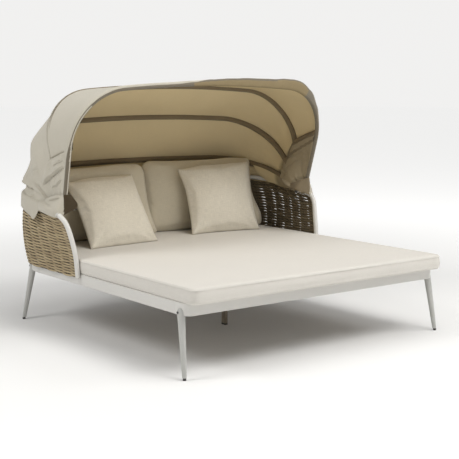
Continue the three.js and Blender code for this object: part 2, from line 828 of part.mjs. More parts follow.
// Canopy cloth between the bows, drawn tight over them and gathered low on the sides
const clothSideSteps = 6;
const clothHalf = bowOutline(clothSideSteps, bowCornerSteps, bowCrownSteps, clothStart);
const clothStations = bothHands(clothHalf);
const clothColumns = clothStations.length - 1;

// A point over a bow, out from its centre line by a distance
function overBow({ x, reach, outX, outReach }, angle, distance) {
  const turn = THREE.MathUtils.degToRad(angle);
  const far = reach + outReach * distance;
  return new THREE.Vector3(
    x + outX * distance,
    pivotY + far * Math.cos(turn),
    pivotZ + far * Math.sin(turn),
  );
}

// Soft gathers that run out low on the sides and die away above
function gather(station, across) {
  const low = Math.max(0, 1 - (station.reach - clothStart) / foldRun);
  const wave = 0.5 - 0.5 * Math.cos(2 * Math.PI * (station.reach / foldPitch + across));
  return foldDepth * wave * low * Math.sin(Math.PI * across);
}

function gore(fromAngle, toAngle) {
  const rows = 4;
  const side = (depth) => (column, row) => {
    const station = clothStations[column];
    const edge = THREE.MathUtils.radToDeg(clothGap / station.reach);
    const across = row / rows;
    const rest = bowTubeRadius + clothGap + depth;
    const low = overBow(station, fromAngle + edge, rest);
    const high = overBow(station, toAngle - edge, rest);
    const point = low.lerp(high, across);
    const span = Math.min(1, (station.reach - clothStart) / foldRun);
    point.x -= station.outX * clothSag * span * Math.sin(Math.PI * across);
    point.x += Math.sign(station.x) * Math.abs(station.outX) * gather(station, across);
    return point;
  };
  return closedSkin(clothColumns, rows, side(clothThickness), side(0));
}

// The way out of a bow's tube where cloth that runs to a target leaves it
function leavingWay(station, angle, target) {
  const turn = THREE.MathUtils.degToRad(angle);
  const centre = overBow(station, angle, 0);
  const out = overBow(station, angle, 1).sub(centre);
  const above = new THREE.Vector3(0, -Math.sin(turn), Math.cos(turn));
  const run = target.clone().sub(centre);
  const inward = Math.min(run.dot(out), 0);
  const fall = Math.max(-run.dot(above), hoopTubeRadius);
  return { centre, out, clear: out.clone().multiplyScalar(fall).addScaledVector(above, inward).normalize() };
}

// The cloth behind the rear bow turns round it, comes down over the hoop and hangs outside as a hem
function skirt() {
  const turnRows = 2;
  const spanRows = 3;
  const wrapRows = 2;
  const hangRows = 2;
  const rows = turnRows + spanRows + wrapRows + hangRows;
  const wrap = hoopTubeRadius + hemStandOff;
  const side = (depth) => (column, row) => {
    const rest = bowTubeRadius + skirtGap + depth;
    const station = clothStations[column];
    const place = aroundBack(
      column / clothColumns, hoopHalfWidth, hoopBack, hoopCornerRadius, skirtStart,
    );
    const past = row - turnRows - spanRows;
    const turn = THREE.MathUtils.clamp(past / wrapRows, 0, 1) * Math.PI / 2;
    const hang = Math.max(past - wrapRows, 0) / hangRows;
    const wave = foldDepth * hang * (0.5 + 0.5 * Math.cos(Math.PI * column));
    const proud = (wrap + depth) * Math.sin(turn) + hemFlare * hang + wave;
    const drop = place.y < hemSplit ? hemFrontDrop : hemBackDrop;
    const overHoop = new THREE.Vector3(
      place.x + place.outX * proud,
      place.y + place.outY * proud,
      hoopHeight(place.y) + (wrap + depth) * Math.cos(turn) - hang * drop,
    );
    if (past >= 0) {
      return overHoop;
    }
    const edge = THREE.MathUtils.radToDeg(skirtGap / station.reach);
    const { centre, out, clear } = leavingWay(station, rearBowAngle - edge, overHoop);
    const turned = Math.min(row / turnRows, 1);
    const way = out.lerp(clear, turned).normalize();
    const along = Math.max(row - turnRows, 0) / spanRows + leavingShare * turned;
    return centre.addScaledVector(way, rest).lerp(overHoop, along);
  };
  return closedSkin(clothColumns, rows, side(clothThickness), side(0));
}

function buildCanopy() {
  put('gore_front', gore(secondBowAngle, frontBowAngle), canopyCloth);
  put('gore_middle', gore(thirdBowAngle, secondBowAngle), canopyCloth);
  put('gore_rear', gore(rearBowAngle, thirdBowAngle), canopyCloth);
  put('canopy_skirt', skirt(), canopyCloth);
}

// Mattress, a boxed pad with rounded edges, and corners that follow the frame
function buildMattress() {
  const half = mattressHalfWidth;
  const front = mattressFrontRadius - frameFront - mattressAhead;
  const back = frameBack - mattressBackInset - mattressRearRadius;
  const frontX = half - mattressFrontRadius;
  const rearX = half - mattressRearRadius;
  const plan = new THREE.Shape();
  plan.moveTo(half, front);
  plan.absarc(rearX, back, mattressRearRadius, 0, Math.PI / 2);
  plan.absarc(-rearX, back, mattressRearRadius, Math.PI / 2, Math.PI);
  plan.absarc(-frontX, front, mattressFrontRadius, Math.PI, 1.5 * Math.PI);
  plan.absarc(frontX, front, mattressFrontRadius, 1.5 * Math.PI, 2 * Math.PI);
  const pad = new THREE.ExtrudeGeometry(plan, {
    depth: mattressHeight - 2 * mattressEdgeRadius,
    curveSegments: 6,
    bevelSegments: 2,
    bevelSize: mattressEdgeRadius,
    bevelThickness: mattressEdgeRadius,
    bevelOffset: -mattressEdgeRadius,
  }).translate(0, 0, frameTop + seatGap + mattressEdgeRadius);
  put('mattress', pad, mattressCloth);
}

// A pillow from a box grid: crowned faces, a thin seam edge and sides drawn in between corners
function pillow(width, height, thickness) {
  const geometry = new THREE.BoxGeometry(2, 2, 2, pillowSteps, pillowSteps, 1);
  const position = geometry.attributes.position;
  for (let i = 0; i < position.count; i += 1) {
    const a = position.getX(i);
    const b = position.getY(i);
    const crown = ((1 - a * a) * (1 - b * b)) ** crownShare;
    const drawX = 1 - drawnInShare * (1 - b * b) * Math.abs(a);
    const drawY = 1 - drawnInShare * (1 - a * a) * Math.abs(b);
    const deep = seamShare + (1 - seamShare) * crown;
    const z = position.getZ(i) * deep * thickness / 2;
    position.setXYZ(i, a * drawX * width / 2, b * drawY * height / 2, z);
  }
  return geometry.rotateX(Math.PI / 2);
}

// Stands a cushion on the mattress, leaning back and turned a little
function standCushion(name, size, place, material) {
  const tilt = THREE.MathUtils.degToRad(place.lean);
  const holder = new THREE.Group();
  const edge = size.thickness * seamShare / 2;
  const rise = size.height / 2 * Math.cos(tilt) + edge * Math.sin(tilt) + seatGap;
  const back = size.height / 2 * Math.sin(tilt);
  holder.position.set(place.x, place.y + back, frameTop + seatGap + mattressHeight + rise);
  holder.rotation.set(-tilt, 0, THREE.MathUtils.degToRad(place.turn), 'ZYX');
  daybed.add(holder);
  put(name, pillow(size.width, size.height, size.thickness), material, holder);
}

function buildCushions() {
  const backSize = {
    width: backCushionWidth,
    height: backCushionHeight,
    thickness: backCushionThickness,
  };
  const lean = backCushionLean;
  const leftX = leftCushionInset - mattressHalfWidth / 2;
  const rightX = mattressHalfWidth / 2 - rightCushionInset;
  const leftY = hoopBack - leftCushionAhead;
  const rightY = hoopBack - rightCushionAhead;
  const leftLong = { x: leftX, y: leftY, lean, turn: leftCushionTurn };
  const rightLong = { x: rightX, y: rightY, lean, turn: rightCushionTurn };
  standCushion('back_cushion_left', backSize, leftLong, cushionCloth);
  standCushion('back_cushion_right', backSize, rightLong, cushionCloth);
  const square = { width: pillowWidth, height: pillowHeight, thickness: pillowThickness };
  const left = {
    x: leftX - leftPillowOut,
    y: leftY - leftPillowAhead,
    lean: leftPillowLean,
    turn: leftPillowTurn,
  };
  const right = {
    x: rightX + rightPillowOut,
    y: rightY - rightPillowAhead,
    lean: rightPillowLean,
    turn: rightPillowTurn,
  };
  standCushion('throw_pillow_left', square, left, pillowCloth);
  standCushion('throw_pillow_right', square, right, pillowCloth);
}

buildRails();
buildSlats();
buildLedges();
buildCentre();
buildLegs();
buildHoop();
buildShell();
buildBows();
buildPivots();
buildCanopy();
buildMattress();
buildCushions();

export default daybed;
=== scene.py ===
# Outdoor daybed with a folding canopy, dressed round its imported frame. Metres, +Z up.
import json
import math

import bmesh
import bpy
from mathutils import Matrix, Vector, noise


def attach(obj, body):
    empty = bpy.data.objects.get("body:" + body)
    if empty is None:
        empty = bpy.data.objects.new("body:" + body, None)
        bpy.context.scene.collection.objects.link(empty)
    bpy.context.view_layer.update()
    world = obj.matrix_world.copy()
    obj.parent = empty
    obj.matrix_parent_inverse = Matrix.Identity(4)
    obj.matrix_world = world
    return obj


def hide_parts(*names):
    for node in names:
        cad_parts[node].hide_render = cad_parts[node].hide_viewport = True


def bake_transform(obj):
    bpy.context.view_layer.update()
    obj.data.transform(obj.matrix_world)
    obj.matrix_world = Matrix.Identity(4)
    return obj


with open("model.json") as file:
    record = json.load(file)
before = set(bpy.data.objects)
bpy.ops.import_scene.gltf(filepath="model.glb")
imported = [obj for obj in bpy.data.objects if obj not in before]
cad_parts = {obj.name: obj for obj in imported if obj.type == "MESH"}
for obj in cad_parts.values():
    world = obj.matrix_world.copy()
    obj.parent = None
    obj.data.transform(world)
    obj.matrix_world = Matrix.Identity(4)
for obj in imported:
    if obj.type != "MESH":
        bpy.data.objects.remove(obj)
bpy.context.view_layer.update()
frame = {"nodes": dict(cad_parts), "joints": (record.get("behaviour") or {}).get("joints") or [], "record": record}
scene = bpy.context.scene
nodes = frame["nodes"]
bodyOfNode = {node: body for body, members in frame["record"]["behaviour"]["bodies"].items()
              for node in members}
slotOfNode = {part["node"]: part["material_slot"] for part in frame["record"]["subparts"]}
pivot = Vector(frame["joints"][0]["pos_m"])


def lerp(a, b, share):
    return a + (b - a) * share


def clamp(value, low=0.0, high=1.0):
    return max(low, min(high, value))


def ease(low, high, value):
    share = clamp((value - low) / (high - low))
    return share * share * (3 - 2 * share)


def unevenAt(scales, *place):
    # smooth noise at a place that is stretched by scales
    return noise.noise(Vector([value * scale for value, scale in zip(place, scales)]))


# camera at the photograph's angle
camera = {"place": (-3.745, -4.995, 1.4245), "turn": (82.226, 0, -37.134), "lens": 83.62, "sensor": 36}
lens = bpy.data.cameras.new("camera")
lens.sensor_width = camera["sensor"]
lens.lens = camera["lens"]
eye = bpy.data.objects.new("camera", lens)
eye.location = camera["place"]
eye.rotation_euler = [math.radians(angle) for angle in camera["turn"]]
scene.collection.objects.link(eye)
scene.camera = eye
scene.view_settings.view_transform = "Standard"

# soft studio light: a dim sky that looks pale to the camera, and wide lamps above
studio = {
    "sky": (1.0, 0.995, 0.985), "skyStrength": 0.345, "wall": 0.88,
    "lamps": {
        "top": {"place": (0.3, -1.7, 5.4), "size": 5.0, "power": 120},
        "high": {"place": (0.9, -4.4, 5.9), "size": 3.0, "power": 140},
        "left": {"place": (-4.4, 0.7, 4.4), "size": 2.4, "power": 96},
        "right": {"place": (4.6, -3.7, 4.6), "size": 2.6, "power": 80},
    },
    "lampColour": (1.0, 0.99, 0.97), "aim": (0, 0, 0.5), "floor": 60, "floorSides": 64,
    "floorColour": (0.90, 0.90, 0.895), "floorRoughness": 0.9,
    "farLight": 0.615, "nearReach": 1.2, "farReach": 6.5,
}


def addLight(name, values):
    light = bpy.data.lights.new(name, "AREA")
    light.shape = "DISK"
    light.size = values["size"]
    light.energy = values["power"]
    light.color = studio["lampColour"]
    lamp = bpy.data.objects.new(name, light)
    lamp.location = values["place"]
    aim = Vector(studio["aim"]) - lamp.location
    lamp.rotation_euler = aim.to_track_quat("-Z", "Y").to_euler()
    scene.collection.objects.link(lamp)


for lampName, lampValues in studio["lamps"].items():
    addLight(lampName, lampValues)
# the camera sees a pale wall, while the pieces are lit by a dimmer sky
world = bpy.data.worlds.new("studio")
world.use_nodes = True
sky = world.node_tree.nodes["Background"]
sky.inputs["Color"].default_value = (*studio["sky"], 1)
seen = world.node_tree.nodes.new("ShaderNodeLightPath")
strength = world.node_tree.nodes.new("ShaderNodeMath")
strength.operation = "MULTIPLY_ADD"
strength.inputs[1].default_value = studio["wall"] - studio["skyStrength"]
strength.inputs[2].default_value = studio["skyStrength"]
world.node_tree.links.new(seen.outputs["Is Camera Ray"], strength.inputs[0])
world.node_tree.links.new(strength.outputs[0], sky.inputs["Strength"])
scene.world = world


# shared shader effects
noises = {
    "warpSlub": (460, 26, 30), "weftSlub": (24, 430, 30), "blotchDetail": 3.0, "blotchRough": 0.55,
    "peelDetail": 2.0, "smearScale": 9.0, "smearDetail": 3.0, "coatRough": 0.6,
}


def newGroup(name, inputs, outputs):
    group = bpy.data.node_groups.new(name, "ShaderNodeTree")
    for label, kind, value in inputs:
        socket = group.interface.new_socket(label, in_out="INPUT", socket_type=kind)
        if value is not None:
            socket.default_value = value
    for label, kind in outputs:
        group.interface.new_socket(label, in_out="OUTPUT", socket_type=kind)
    return group, group.nodes.new("NodeGroupInput"), group.nodes.new("NodeGroupOutput")


def mathNode(tree, operation, *values):
    node = tree.nodes.new("ShaderNodeMath")
    node.operation = operation
    for socket, value in zip(node.inputs, values):
        if isinstance(value, (int, float)):
            socket.default_value = value
        else:
            tree.links.new(value, socket)
    return node.outputs[0]


def noiseNode(tree, vector, scale, detail=2.0, rough=0.5):
    node = tree.nodes.new("ShaderNodeTexNoise")
    node.inputs["Detail"].default_value = detail
    node.inputs["Roughness"].default_value = rough
    if isinstance(scale, (int, float)):
        node.inputs["Scale"].default_value = scale
    else:
        tree.links.new(scale, node.inputs["Scale"])
    tree.links.new(vector, node.inputs["Vector"])
    return node.outputs["Fac"]


def scaledVector(tree, vector, factors):
    node = tree.nodes.new("ShaderNodeVectorMath")
    node.operation = "MULTIPLY"
    tree.links.new(vector, node.inputs[0])
    node.inputs[1].default_value = factors
    return node.outputs["Vector"]


def makeWeave():
    # plain weave: height of crossing threads, and the slubs of thick and thin yarn
    group, given, made = newGroup(
        "plainWeave",
        [("Vector", "NodeSocketVector", None), ("Threads", "NodeSocketFloat", 700.0)],
        [("Height", "NodeSocketFloat"), ("Slub", "NodeSocketFloat")])
    split = group.nodes.new("ShaderNodeSeparateXYZ")
    group.links.new(given.outputs["Vector"], split.inputs[0])
    turns = mathNode(group, "MULTIPLY", given.outputs["Threads"], math.pi)
    warp = mathNode(group, "SINE", mathNode(group, "MULTIPLY", split.outputs[0], turns))
    weft = mathNode(group, "SINE", mathNode(group, "MULTIPLY", split.outputs[1], turns))
    over = mathNode(group, "MULTIPLY_ADD", mathNode(group, "MULTIPLY", warp, weft), 0.5, 0.5)
    warpHigh = mathNode(group, "MULTIPLY", mathNode(group, "ABSOLUTE", warp), over)
    below = mathNode(group, "SUBTRACT", 1.0, over)
    weftHigh = mathNode(group, "MULTIPLY", mathNode(group, "ABSOLUTE", weft), below)
    group.links.new(mathNode(group, "MAXIMUM", warpHigh, weftHigh), made.inputs["Height"])
    alongWarp = noiseNode(group, scaledVector(group, given.outputs["Vector"], noises["warpSlub"]), 1.0)
    alongWeft = noiseNode(group, scaledVector(group, given.outputs["Vector"], noises["weftSlub"]), 1.0)
    both = mathNode(group, "ADD", alongWarp, alongWeft)
    group.links.new(mathNode(group, "MULTIPLY", both, 0.5), made.inputs["Slub"])
    return group


def makeBlotch():
    # slow uneven shade, as of handling, dust and weather
    group, given, made = newGroup(
        "unevenShade",
        [("Vector", "NodeSocketVector", None), ("Scale", "NodeSocketFloat", 6.0),
         ("Amount", "NodeSocketFloat", 0.1)],
        [("Shade", "NodeSocketFloat")])
    broad = noiseNode(group, given.outputs["Vector"], given.outputs["Scale"],
                      noises["blotchDetail"], noises["blotchRough"])
    offset = mathNode(group, "SUBTRACT", broad, 0.5)
    swing = mathNode(group, "MULTIPLY", offset, given.outputs["Amount"])
    group.links.new(mathNode(group, "ADD", swing, 1.0), made.inputs["Shade"])
    return group


def makePeel():
    # fine orange peel of a powder coat and the grain of moulded plastic
    group, given, made = newGroup(
        "coatGrain",
        [("Vector", "NodeSocketVector", None), ("Scale", "NodeSocketFloat", 700.0)],
        [("Height", "NodeSocketFloat"), ("Roughness", "NodeSocketFloat")])
    peel = noiseNode(group, given.outputs["Vector"], given.outputs["Scale"],
                     noises["peelDetail"], noises["coatRough"])
    group.links.new(peel, made.inputs["Height"])
    smear = noiseNode(group, given.outputs["Vector"], noises["smearScale"],
                      noises["smearDetail"], noises["coatRough"])
    group.links.new(smear, made.inputs["Roughness"])
    return group


plainWeave = makeWeave()
unevenShade = makeBlotch()
coatGrain = makePeel()


def startMaterial(name):
    material = bpy.data.materials.new(name)
    material.use_nodes = True
    tree = material.node_tree
    return material, tree, tree.nodes["Principled BSDF"]


def placeGroup(tree, group, vector, **values):
    node = tree.nodes.new("ShaderNodeGroup")
    node.node_tree = group
    tree.links.new(vector, node.inputs["Vector"])
    for label, value in values.items():
        node.inputs[label].default_value = value
    return node


def tinted(tree, colour, *shades):
    # a colour darkened or lightened by values round one
    factor = shades[0]
    for shade in shades[1:]:
        factor = mathNode(tree, "MULTIPLY", factor, shade)
    node = tree.nodes.new("ShaderNodeVectorMath")
    node.operation = "SCALE"
    if isinstance(colour, tuple):
        node.inputs[0].default_value = colour
    else:
        tree.links.new(colour, node.inputs[0])
    tree.links.new(factor, node.inputs["Scale"])
    return node.outputs["Vector"]


def ranged(tree, value, low, high):
    return mathNode(tree, "MULTIPLY_ADD", value, high - low, low)


def bumpFrom(tree, shader, height, strength, distance):
    bump = tree.nodes.new("ShaderNodeBump")
    bump.inputs["Strength"].default_value = strength
    bump.inputs["Distance"].default_value = distance
    tree.links.new(height, bump.inputs["Height"])
    tree.links.new(bump.outputs["Normal"], shader.inputs["Normal"])


clothLook = {"roughness": 0.92, "sheenRoughness": 0.6, "specular": 0.18, "weaveShade": (0.93, 1.04),
             "blotchScale": 5.0, "bumpDepth": 0.0006}


def clothFinish(name, colour, threads=700.0, slub=0.12, uneven=0.08, sheen=0.25, bump=0.5):
    material, tree, shader = startMaterial(name)
    coordinates = tree.nodes.new("ShaderNodeTexCoord")
    weave = placeGroup(tree, plainWeave, coordinates.outputs["UV"], Threads=threads)
    blotch = placeGroup(tree, unevenShade, coordinates.outputs["Object"],
                        Scale=clothLook["blotchScale"], Amount=uneven)
    yarn = ranged(tree, weave.outputs["Slub"], 1 - slub, 1 + slub)
    # painted light and shade: the weave's raised threads a little lighter, its low ones darker
    weaveShade = ranged(tree, weave.outputs["Height"], *clothLook["weaveShade"])
    shade = tinted(tree, colour, blotch.outputs["Shade"], yarn, weaveShade)
    tree.links.new(shade, shader.inputs["Base Color"])
    shader.inputs["Roughness"].default_value = clothLook["roughness"]
    shader.inputs["Sheen Weight"].default_value = sheen
    shader.inputs["Sheen Roughness"].default_value = clothLook["sheenRoughness"]
    shader.inputs["Specular IOR Level"].default_value = clothLook["specular"]
    bumpFrom(tree, shader, weave.outputs["Height"], bump, clothLook["bumpDepth"])
    return material


liningLook = {"roughness": 0.94, "specular": 0.12, "threads": 800.0, "yarn": (0.93, 1.07),
              "blotchScale": 3.0, "uneven": 0.14, "shadedTo": 0.285, "litFrom": 0.335,
              "bump": 0.35, "bumpDepth": 0.0005}


def liningFinish(name, colour, low):
    # the inside of the canopy: painted light higher up, where light shines through the single cloth, and painted
    # shade low on the sides
    material, tree, shader = startMaterial(name)
    coordinates = tree.nodes.new("ShaderNodeTexCoord")
    weave = placeGroup(tree, plainWeave, coordinates.outputs["UV"], Threads=liningLook["threads"])
    blotch = placeGroup(tree, unevenShade, coordinates.outputs["Object"],
                        Scale=liningLook["blotchScale"], Amount=liningLook["uneven"])
    split = tree.nodes.new("ShaderNodeSeparateXYZ")
    tree.links.new(coordinates.outputs["Object"], split.inputs[0])
    ahead = mathNode(tree, "SUBTRACT", split.outputs[1], pivot.y)
    above = mathNode(tree, "SUBTRACT", split.outputs[2], pivot.z)
    squares = mathNode(tree, "ADD", mathNode(tree, "MULTIPLY", ahead, ahead),
                       mathNode(tree, "MULTIPLY", above, above))
    reach = mathNode(tree, "SQRT", squares)
    # painted light and shade: from the shaded colour low down to the colour lit through the cloth higher up
    throughLight = tree.nodes.new("ShaderNodeMapRange")
    throughLight.interpolation_type = "SMOOTHSTEP"
    tree.links.new(reach, throughLight.inputs["Value"])
    throughLight.inputs["From Min"].default_value = liningLook["shadedTo"]
    throughLight.inputs["From Max"].default_value = liningLook["litFrom"]
    mix = tree.nodes.new("ShaderNodeMix")
    mix.data_type = "RGBA"
    tree.links.new(throughLight.outputs["Result"], mix.inputs["Factor"])
    mix.inputs["A"].default_value = (*low, 1)
    mix.inputs["B"].default_value = (*colour, 1)
    yarn = ranged(tree, weave.outputs["Slub"], *liningLook["yarn"])
    shade = tinted(tree, mix.outputs["Result"], blotch.outputs["Shade"], yarn)
    tree.links.new(shade, shader.inputs["Base Color"])
    shader.inputs["Roughness"].default_value = liningLook["roughness"]
    shader.inputs["Specular IOR Level"].default_value = liningLook["specular"]
    bumpFrom(tree, shader, weave.outputs["Height"], liningLook["bump"], liningLook["bumpDepth"])
    return material


coatLook = {"smoother": 0.06, "rougher": 0.08, "blotchScale": 4.0, "uneven": 0.05, "bumpDepth": 0.0004}


def coatFinish(name, colour, roughness, metallic=0.0, grain=700.0, bump=0.12, coat=0.0):
    material, tree, shader = startMaterial(name)
    coordinates = tree.nodes.new("ShaderNodeTexCoord")
    peel = placeGroup(tree, coatGrain, coordinates.outputs["Object"], Scale=grain)
    blotch = placeGroup(tree, unevenShade, coordinates.outputs["Object"],
                        Scale=coatLook["blotchScale"], Amount=coatLook["uneven"])
    tree.links.new(tinted(tree, colour, blotch.outputs["Shade"]), shader.inputs["Base Color"])
    rough = ranged(tree, peel.outputs["Roughness"], roughness - coatLook["smoother"],
                   roughness + coatLook["rougher"])
    tree.links.new(rough, shader.inputs["Roughness"])
    shader.inputs["Metallic"].default_value = metallic
    shader.inputs["Coat Weight"].default_value = coat
    bumpFrom(tree, shader, peel.outputs["Height"], bump, coatLook["bumpDepth"])
    return material


# stitch rows of painted shadow: how far they stand from the seam's middle, their half width and how dark they are
seamLook = {"middle": 0.0075, "rowOff": 0.0048, "rowHalf": 0.0011, "rowShade": -0.42,
            "threads": 700.0, "roughness": 0.92, "bump": 0.4, "bumpDepth": 0.0006}


def seamFinish(name, colour):
    # two rows of painted shadow where stitches draw the cloth down along a felled seam
    material, tree, shader = startMaterial(name)
    coordinates = tree.nodes.new("ShaderNodeTexCoord")
    split = tree.nodes.new("ShaderNodeSeparateXYZ")
    tree.links.new(coordinates.outputs["UV"], split.inputs[0])
    fromMiddle = mathNode(tree, "SUBTRACT", split.outputs[1], seamLook["middle"])
    off = mathNode(tree, "ABSOLUTE", fromMiddle)
    near = mathNode(tree, "ABSOLUTE", mathNode(tree, "SUBTRACT", off, seamLook["rowOff"]))
    row = mathNode(tree, "LESS_THAN", near, seamLook["rowHalf"])
    weave = placeGroup(tree, plainWeave, coordinates.outputs["UV"], Threads=seamLook["threads"])
    shade = tinted(tree, colour, mathNode(tree, "MULTIPLY_ADD", row, seamLook["rowShade"], 1.0))
    tree.links.new(shade, shader.inputs["Base Color"])
    shader.inputs["Roughness"].default_value = seamLook["roughness"]
    bumpFrom(tree, shader, weave.outputs["Height"], seamLook["bump"], seamLook["bumpDepth"])
    return material


caneLook = {"driftStretch": (7, 7, 120), "drift": (-0.5, 1.5), "grooveStretch": (8, 900, 1),
            "groove": (0.7, 1.25), "strandShade": (0.08, 1.0), "roughness": 0.62, "specular": 0.35,
            "bump": 0.5, "bumpDepth": 0.0006}


def strandFinish(name, light, dark):
    # round synthetic cane: fine grooves along each strand, colour that drifts from one to the next, and painted
    # shade from the proud attribute, darker deep in the weave and on the inward side
    material, tree, shader = startMaterial(name)
    coordinates = tree.nodes.new("ShaderNodeTexCoord")
    along = scaledVector(tree, coordinates.outputs["Object"], caneLook["driftStretch"])
    drift = noiseNode(tree, along, 1.0)
    across = scaledVector(tree, coordinates.outputs["UV"], caneLook["grooveStretch"])
    groove = noiseNode(tree, across, 1.0)
    mix = tree.nodes.new("ShaderNodeMix")
    mix.data_type = "RGBA"
    tree.links.new(ranged(tree, drift, *caneLook["drift"]), mix.inputs["Factor"])
    mix.clamp_factor = True
    mix.inputs["A"].default_value = (*dark, 1)
    mix.inputs["B"].default_value = (*light, 1)
    strandShade = tree.nodes.new("ShaderNodeAttribute")
    strandShade.attribute_name = "proud"
    depth = ranged(tree, strandShade.outputs["Fac"], *caneLook["strandShade"])
    shade = tinted(tree, mix.outputs["Result"], ranged(tree, groove, *caneLook["groove"]), depth)
    tree.links.new(shade, shader.inputs["Base Color"])
    shader.inputs["Roughness"].default_value = caneLook["roughness"]
    shader.inputs["Specular IOR Level"].default_value = caneLook["specular"]
    bumpFrom(tree, shader, groove, caneLook["bump"], caneLook["bumpDepth"])
    return material


whiteCoat = coatFinish("whiteCoat", (0.66, 0.645, 0.61), 0.42, coat=0.08)
legCoat = coatFinish("legCoat", (0.50, 0.50, 0.475), 0.36, coat=0.1)
# taupe finish for the parts under the bed, partly painted shade of the bed's shadow
taupeShadeCoat = coatFinish("taupeShadeCoat", (0.30, 0.25, 0.19), 0.5)
darkMoulded = coatFinish("darkMoulded", (0.055, 0.052, 0.048), 0.55, grain=500.0, bump=0.2)
clampCoat = coatFinish("clampCoat", (0.60, 0.59, 0.57), 0.35, coat=0.1)
cane = strandFinish("cane", (0.59, 0.475, 0.295), (0.30, 0.228, 0.128))
canopyCloth = clothFinish("canopyCloth", (0.50, 0.465, 0.385), uneven=0.08, slub=0.06)
# the side lining is the lining's colour with painted shade
shadedSideLining = clothFinish("shadedSideLining", (0.31, 0.255, 0.165), threads=800.0, sheen=0.1)
# lining colour lit through the cloth, then its painted shade colour low on the sides
canopyLining = liningFinish("canopyLining", (0.66, 0.545, 0.335), (0.31, 0.255, 0.165))
seamCloth = seamFinish("seamCloth", (0.48, 0.445, 0.365))
# painted shade: dark cloth where doubled cloth lets less light through, used for the sleeves, the lining's band
# and pleat, and the right cap's inside
paintedShadeCloth = clothFinish("paintedShadeCloth", (0.19, 0.148, 0.09), slub=0.08, sheen=0.1)
hemLining = clothFinish("hemLining", (0.27, 0.212, 0.12), threads=800.0, sheen=0.0)
# painted shadow: near-black cloth for the left hinge cap's inside, which sits in shade
paintedShadowCloth = clothFinish("paintedShadowCloth", (0.065, 0.048, 0.028), slub=0.08, sheen=0.0)
# binding cloth: its dark colour is partly painted shade on the edge that turns to face the front
bindingCloth = clothFinish("bindingCloth", (0.165, 0.14, 0.10), threads=900.0, slub=0.1)
seatCloth = clothFinish("seatCloth", (0.69, 0.66, 0.605), threads=620.0, slub=0.1, uneven=0.05)
cushionCloth = clothFinish("cushionCloth", (0.64, 0.58, 0.455), threads=600.0, slub=0.22)
pillowCloth = clothFinish("pillowCloth", (0.70, 0.65, 0.545), threads=460.0, slub=0.38, uneven=0.08)
finishOfSlot = {
    "white_frame": whiteCoat, "leg_finish": legCoat, "taupe_metal": taupeShadeCoat,
    "dark_plastic": darkMoulded, "clamp_steel": clampCoat,
}
print("finishes made")


def addFloor():
    bm = bmesh.new()
    bmesh.ops.create_circle(bm, cap_ends=True, segments=studio["floorSides"], radius=studio["floor"])
    mesh = bpy.data.meshes.new("floor")
    bm.to_mesh(mesh)
    bm.free()
    floor = bpy.data.objects.new("floor", mesh)
    material, tree, shader = startMaterial("paleFloor")
    shader.inputs["Base Color"].default_value = (*studio["floorColour"], 1)
    shader.inputs["Roughness"].default_value = studio["floorRoughness"]
    # beyond the lamps' reach the floor is lit of itself, so that it meets the wall without a line
    coordinates = tree.nodes.new("ShaderNodeTexCoord")
    far = tree.nodes.new("ShaderNodeVectorMath")
    far.operation = "LENGTH"
    tree.links.new(coordinates.outputs["Object"], far.inputs[0])
    glow = tree.nodes.new("ShaderNodeMapRange")
    glow.interpolation_type = "SMOOTHSTEP"
    tree.links.new(far.outputs["Value"], glow.inputs["Value"])
    glow.inputs["From Min"].default_value = studio["nearReach"]
    glow.inputs["From Max"].default_value = studio["farReach"]
    glow.inputs["To Max"].default_value = studio["farLight"]
    shader.inputs["Emission Color"].default_value = (*studio["floorColour"], 1)
    tree.links.new(glow.outputs["Result"], shader.inputs["Emission Strength"])
    mesh.materials.append(material)
    scene.collection.objects.link(floor)


addFloor()


# making and placing pieces
meshing = {"merge": 1e-5, "tubeMerge": 1e-6, "crease": 35, "tubeCrease": 50, "stakeCrease": 70,
           "flatAngle": 1, "edgeSegments": 2}
sideShares = {"columns": 0.32, "sheet": 0.16}  # of a long sheet's columns, and of its length, on each side


def finishMesh(name, bm, *materials):
    mesh = bpy.data.meshes.new(name)
    bm.to_mesh(mesh)
    bm.free()
    for material in materials:
        mesh.materials.append(material)
    piece = bpy.data.objects.new(name, mesh)
    scene.collection.objects.link(piece)
    return piece


def sharpen(bm, angle=meshing["crease"]):
    for face in bm.faces:
        face.smooth = True
    for edge in bm.edges:
        edge.smooth = len(edge.link_faces) == 2 and edge.calc_face_angle(0) < math.radians(angle)


def boxUv(bm):
    # real-size coordinates from the side that a face looks to
    layer = bm.loops.layers.uv.get("weave") or bm.loops.layers.uv.new("weave")
    for face in bm.faces:
        drop = max(range(3), key=lambda axis: abs(face.normal[axis]))
        kept = [axis for axis in range(3) if axis != drop]
        for loop in face.loops:
            loop[layer].uv = (loop.vert.co[kept[0]], loop.vert.co[kept[1]])


def sideHeavy(share):
    # more columns on the two sides of a long sheet than over its crown
    columns, sheet = sideShares["columns"], sideShares["sheet"]
    if share < columns:
        return share * sheet / columns
    if share > 1 - columns:
        return 1 - (1 - share) * sheet / columns
    return lerp(sheet, 1 - sheet, (share - columns) / (1 - 2 * columns))


def gridPiece(name, columns, rows, place, size, *materials, spread=lambda share: share):
    # a sheet laid out flat, with its real size in its UVs, then put where place says
    bm = bmesh.new()
    layer = bm.loops.layers.uv.new("weave")
    bmesh.ops.create_grid(bm, x_segments=columns, y_segments=rows, size=1)
    shares = {vert: (spread((vert.co.x + 1) / 2), (vert.co.y + 1) / 2) for vert in bm.verts}
    for face in bm.faces:
        face.smooth = True
        for loop in face.loops:
            along, across = shares[loop.vert]
            loop[layer].uv = (along * size[0], across * size[1])
    for vert, (along, across) in shares.items():
        vert.co = place(along, across)
    return finishMesh(name, bm, *materials)


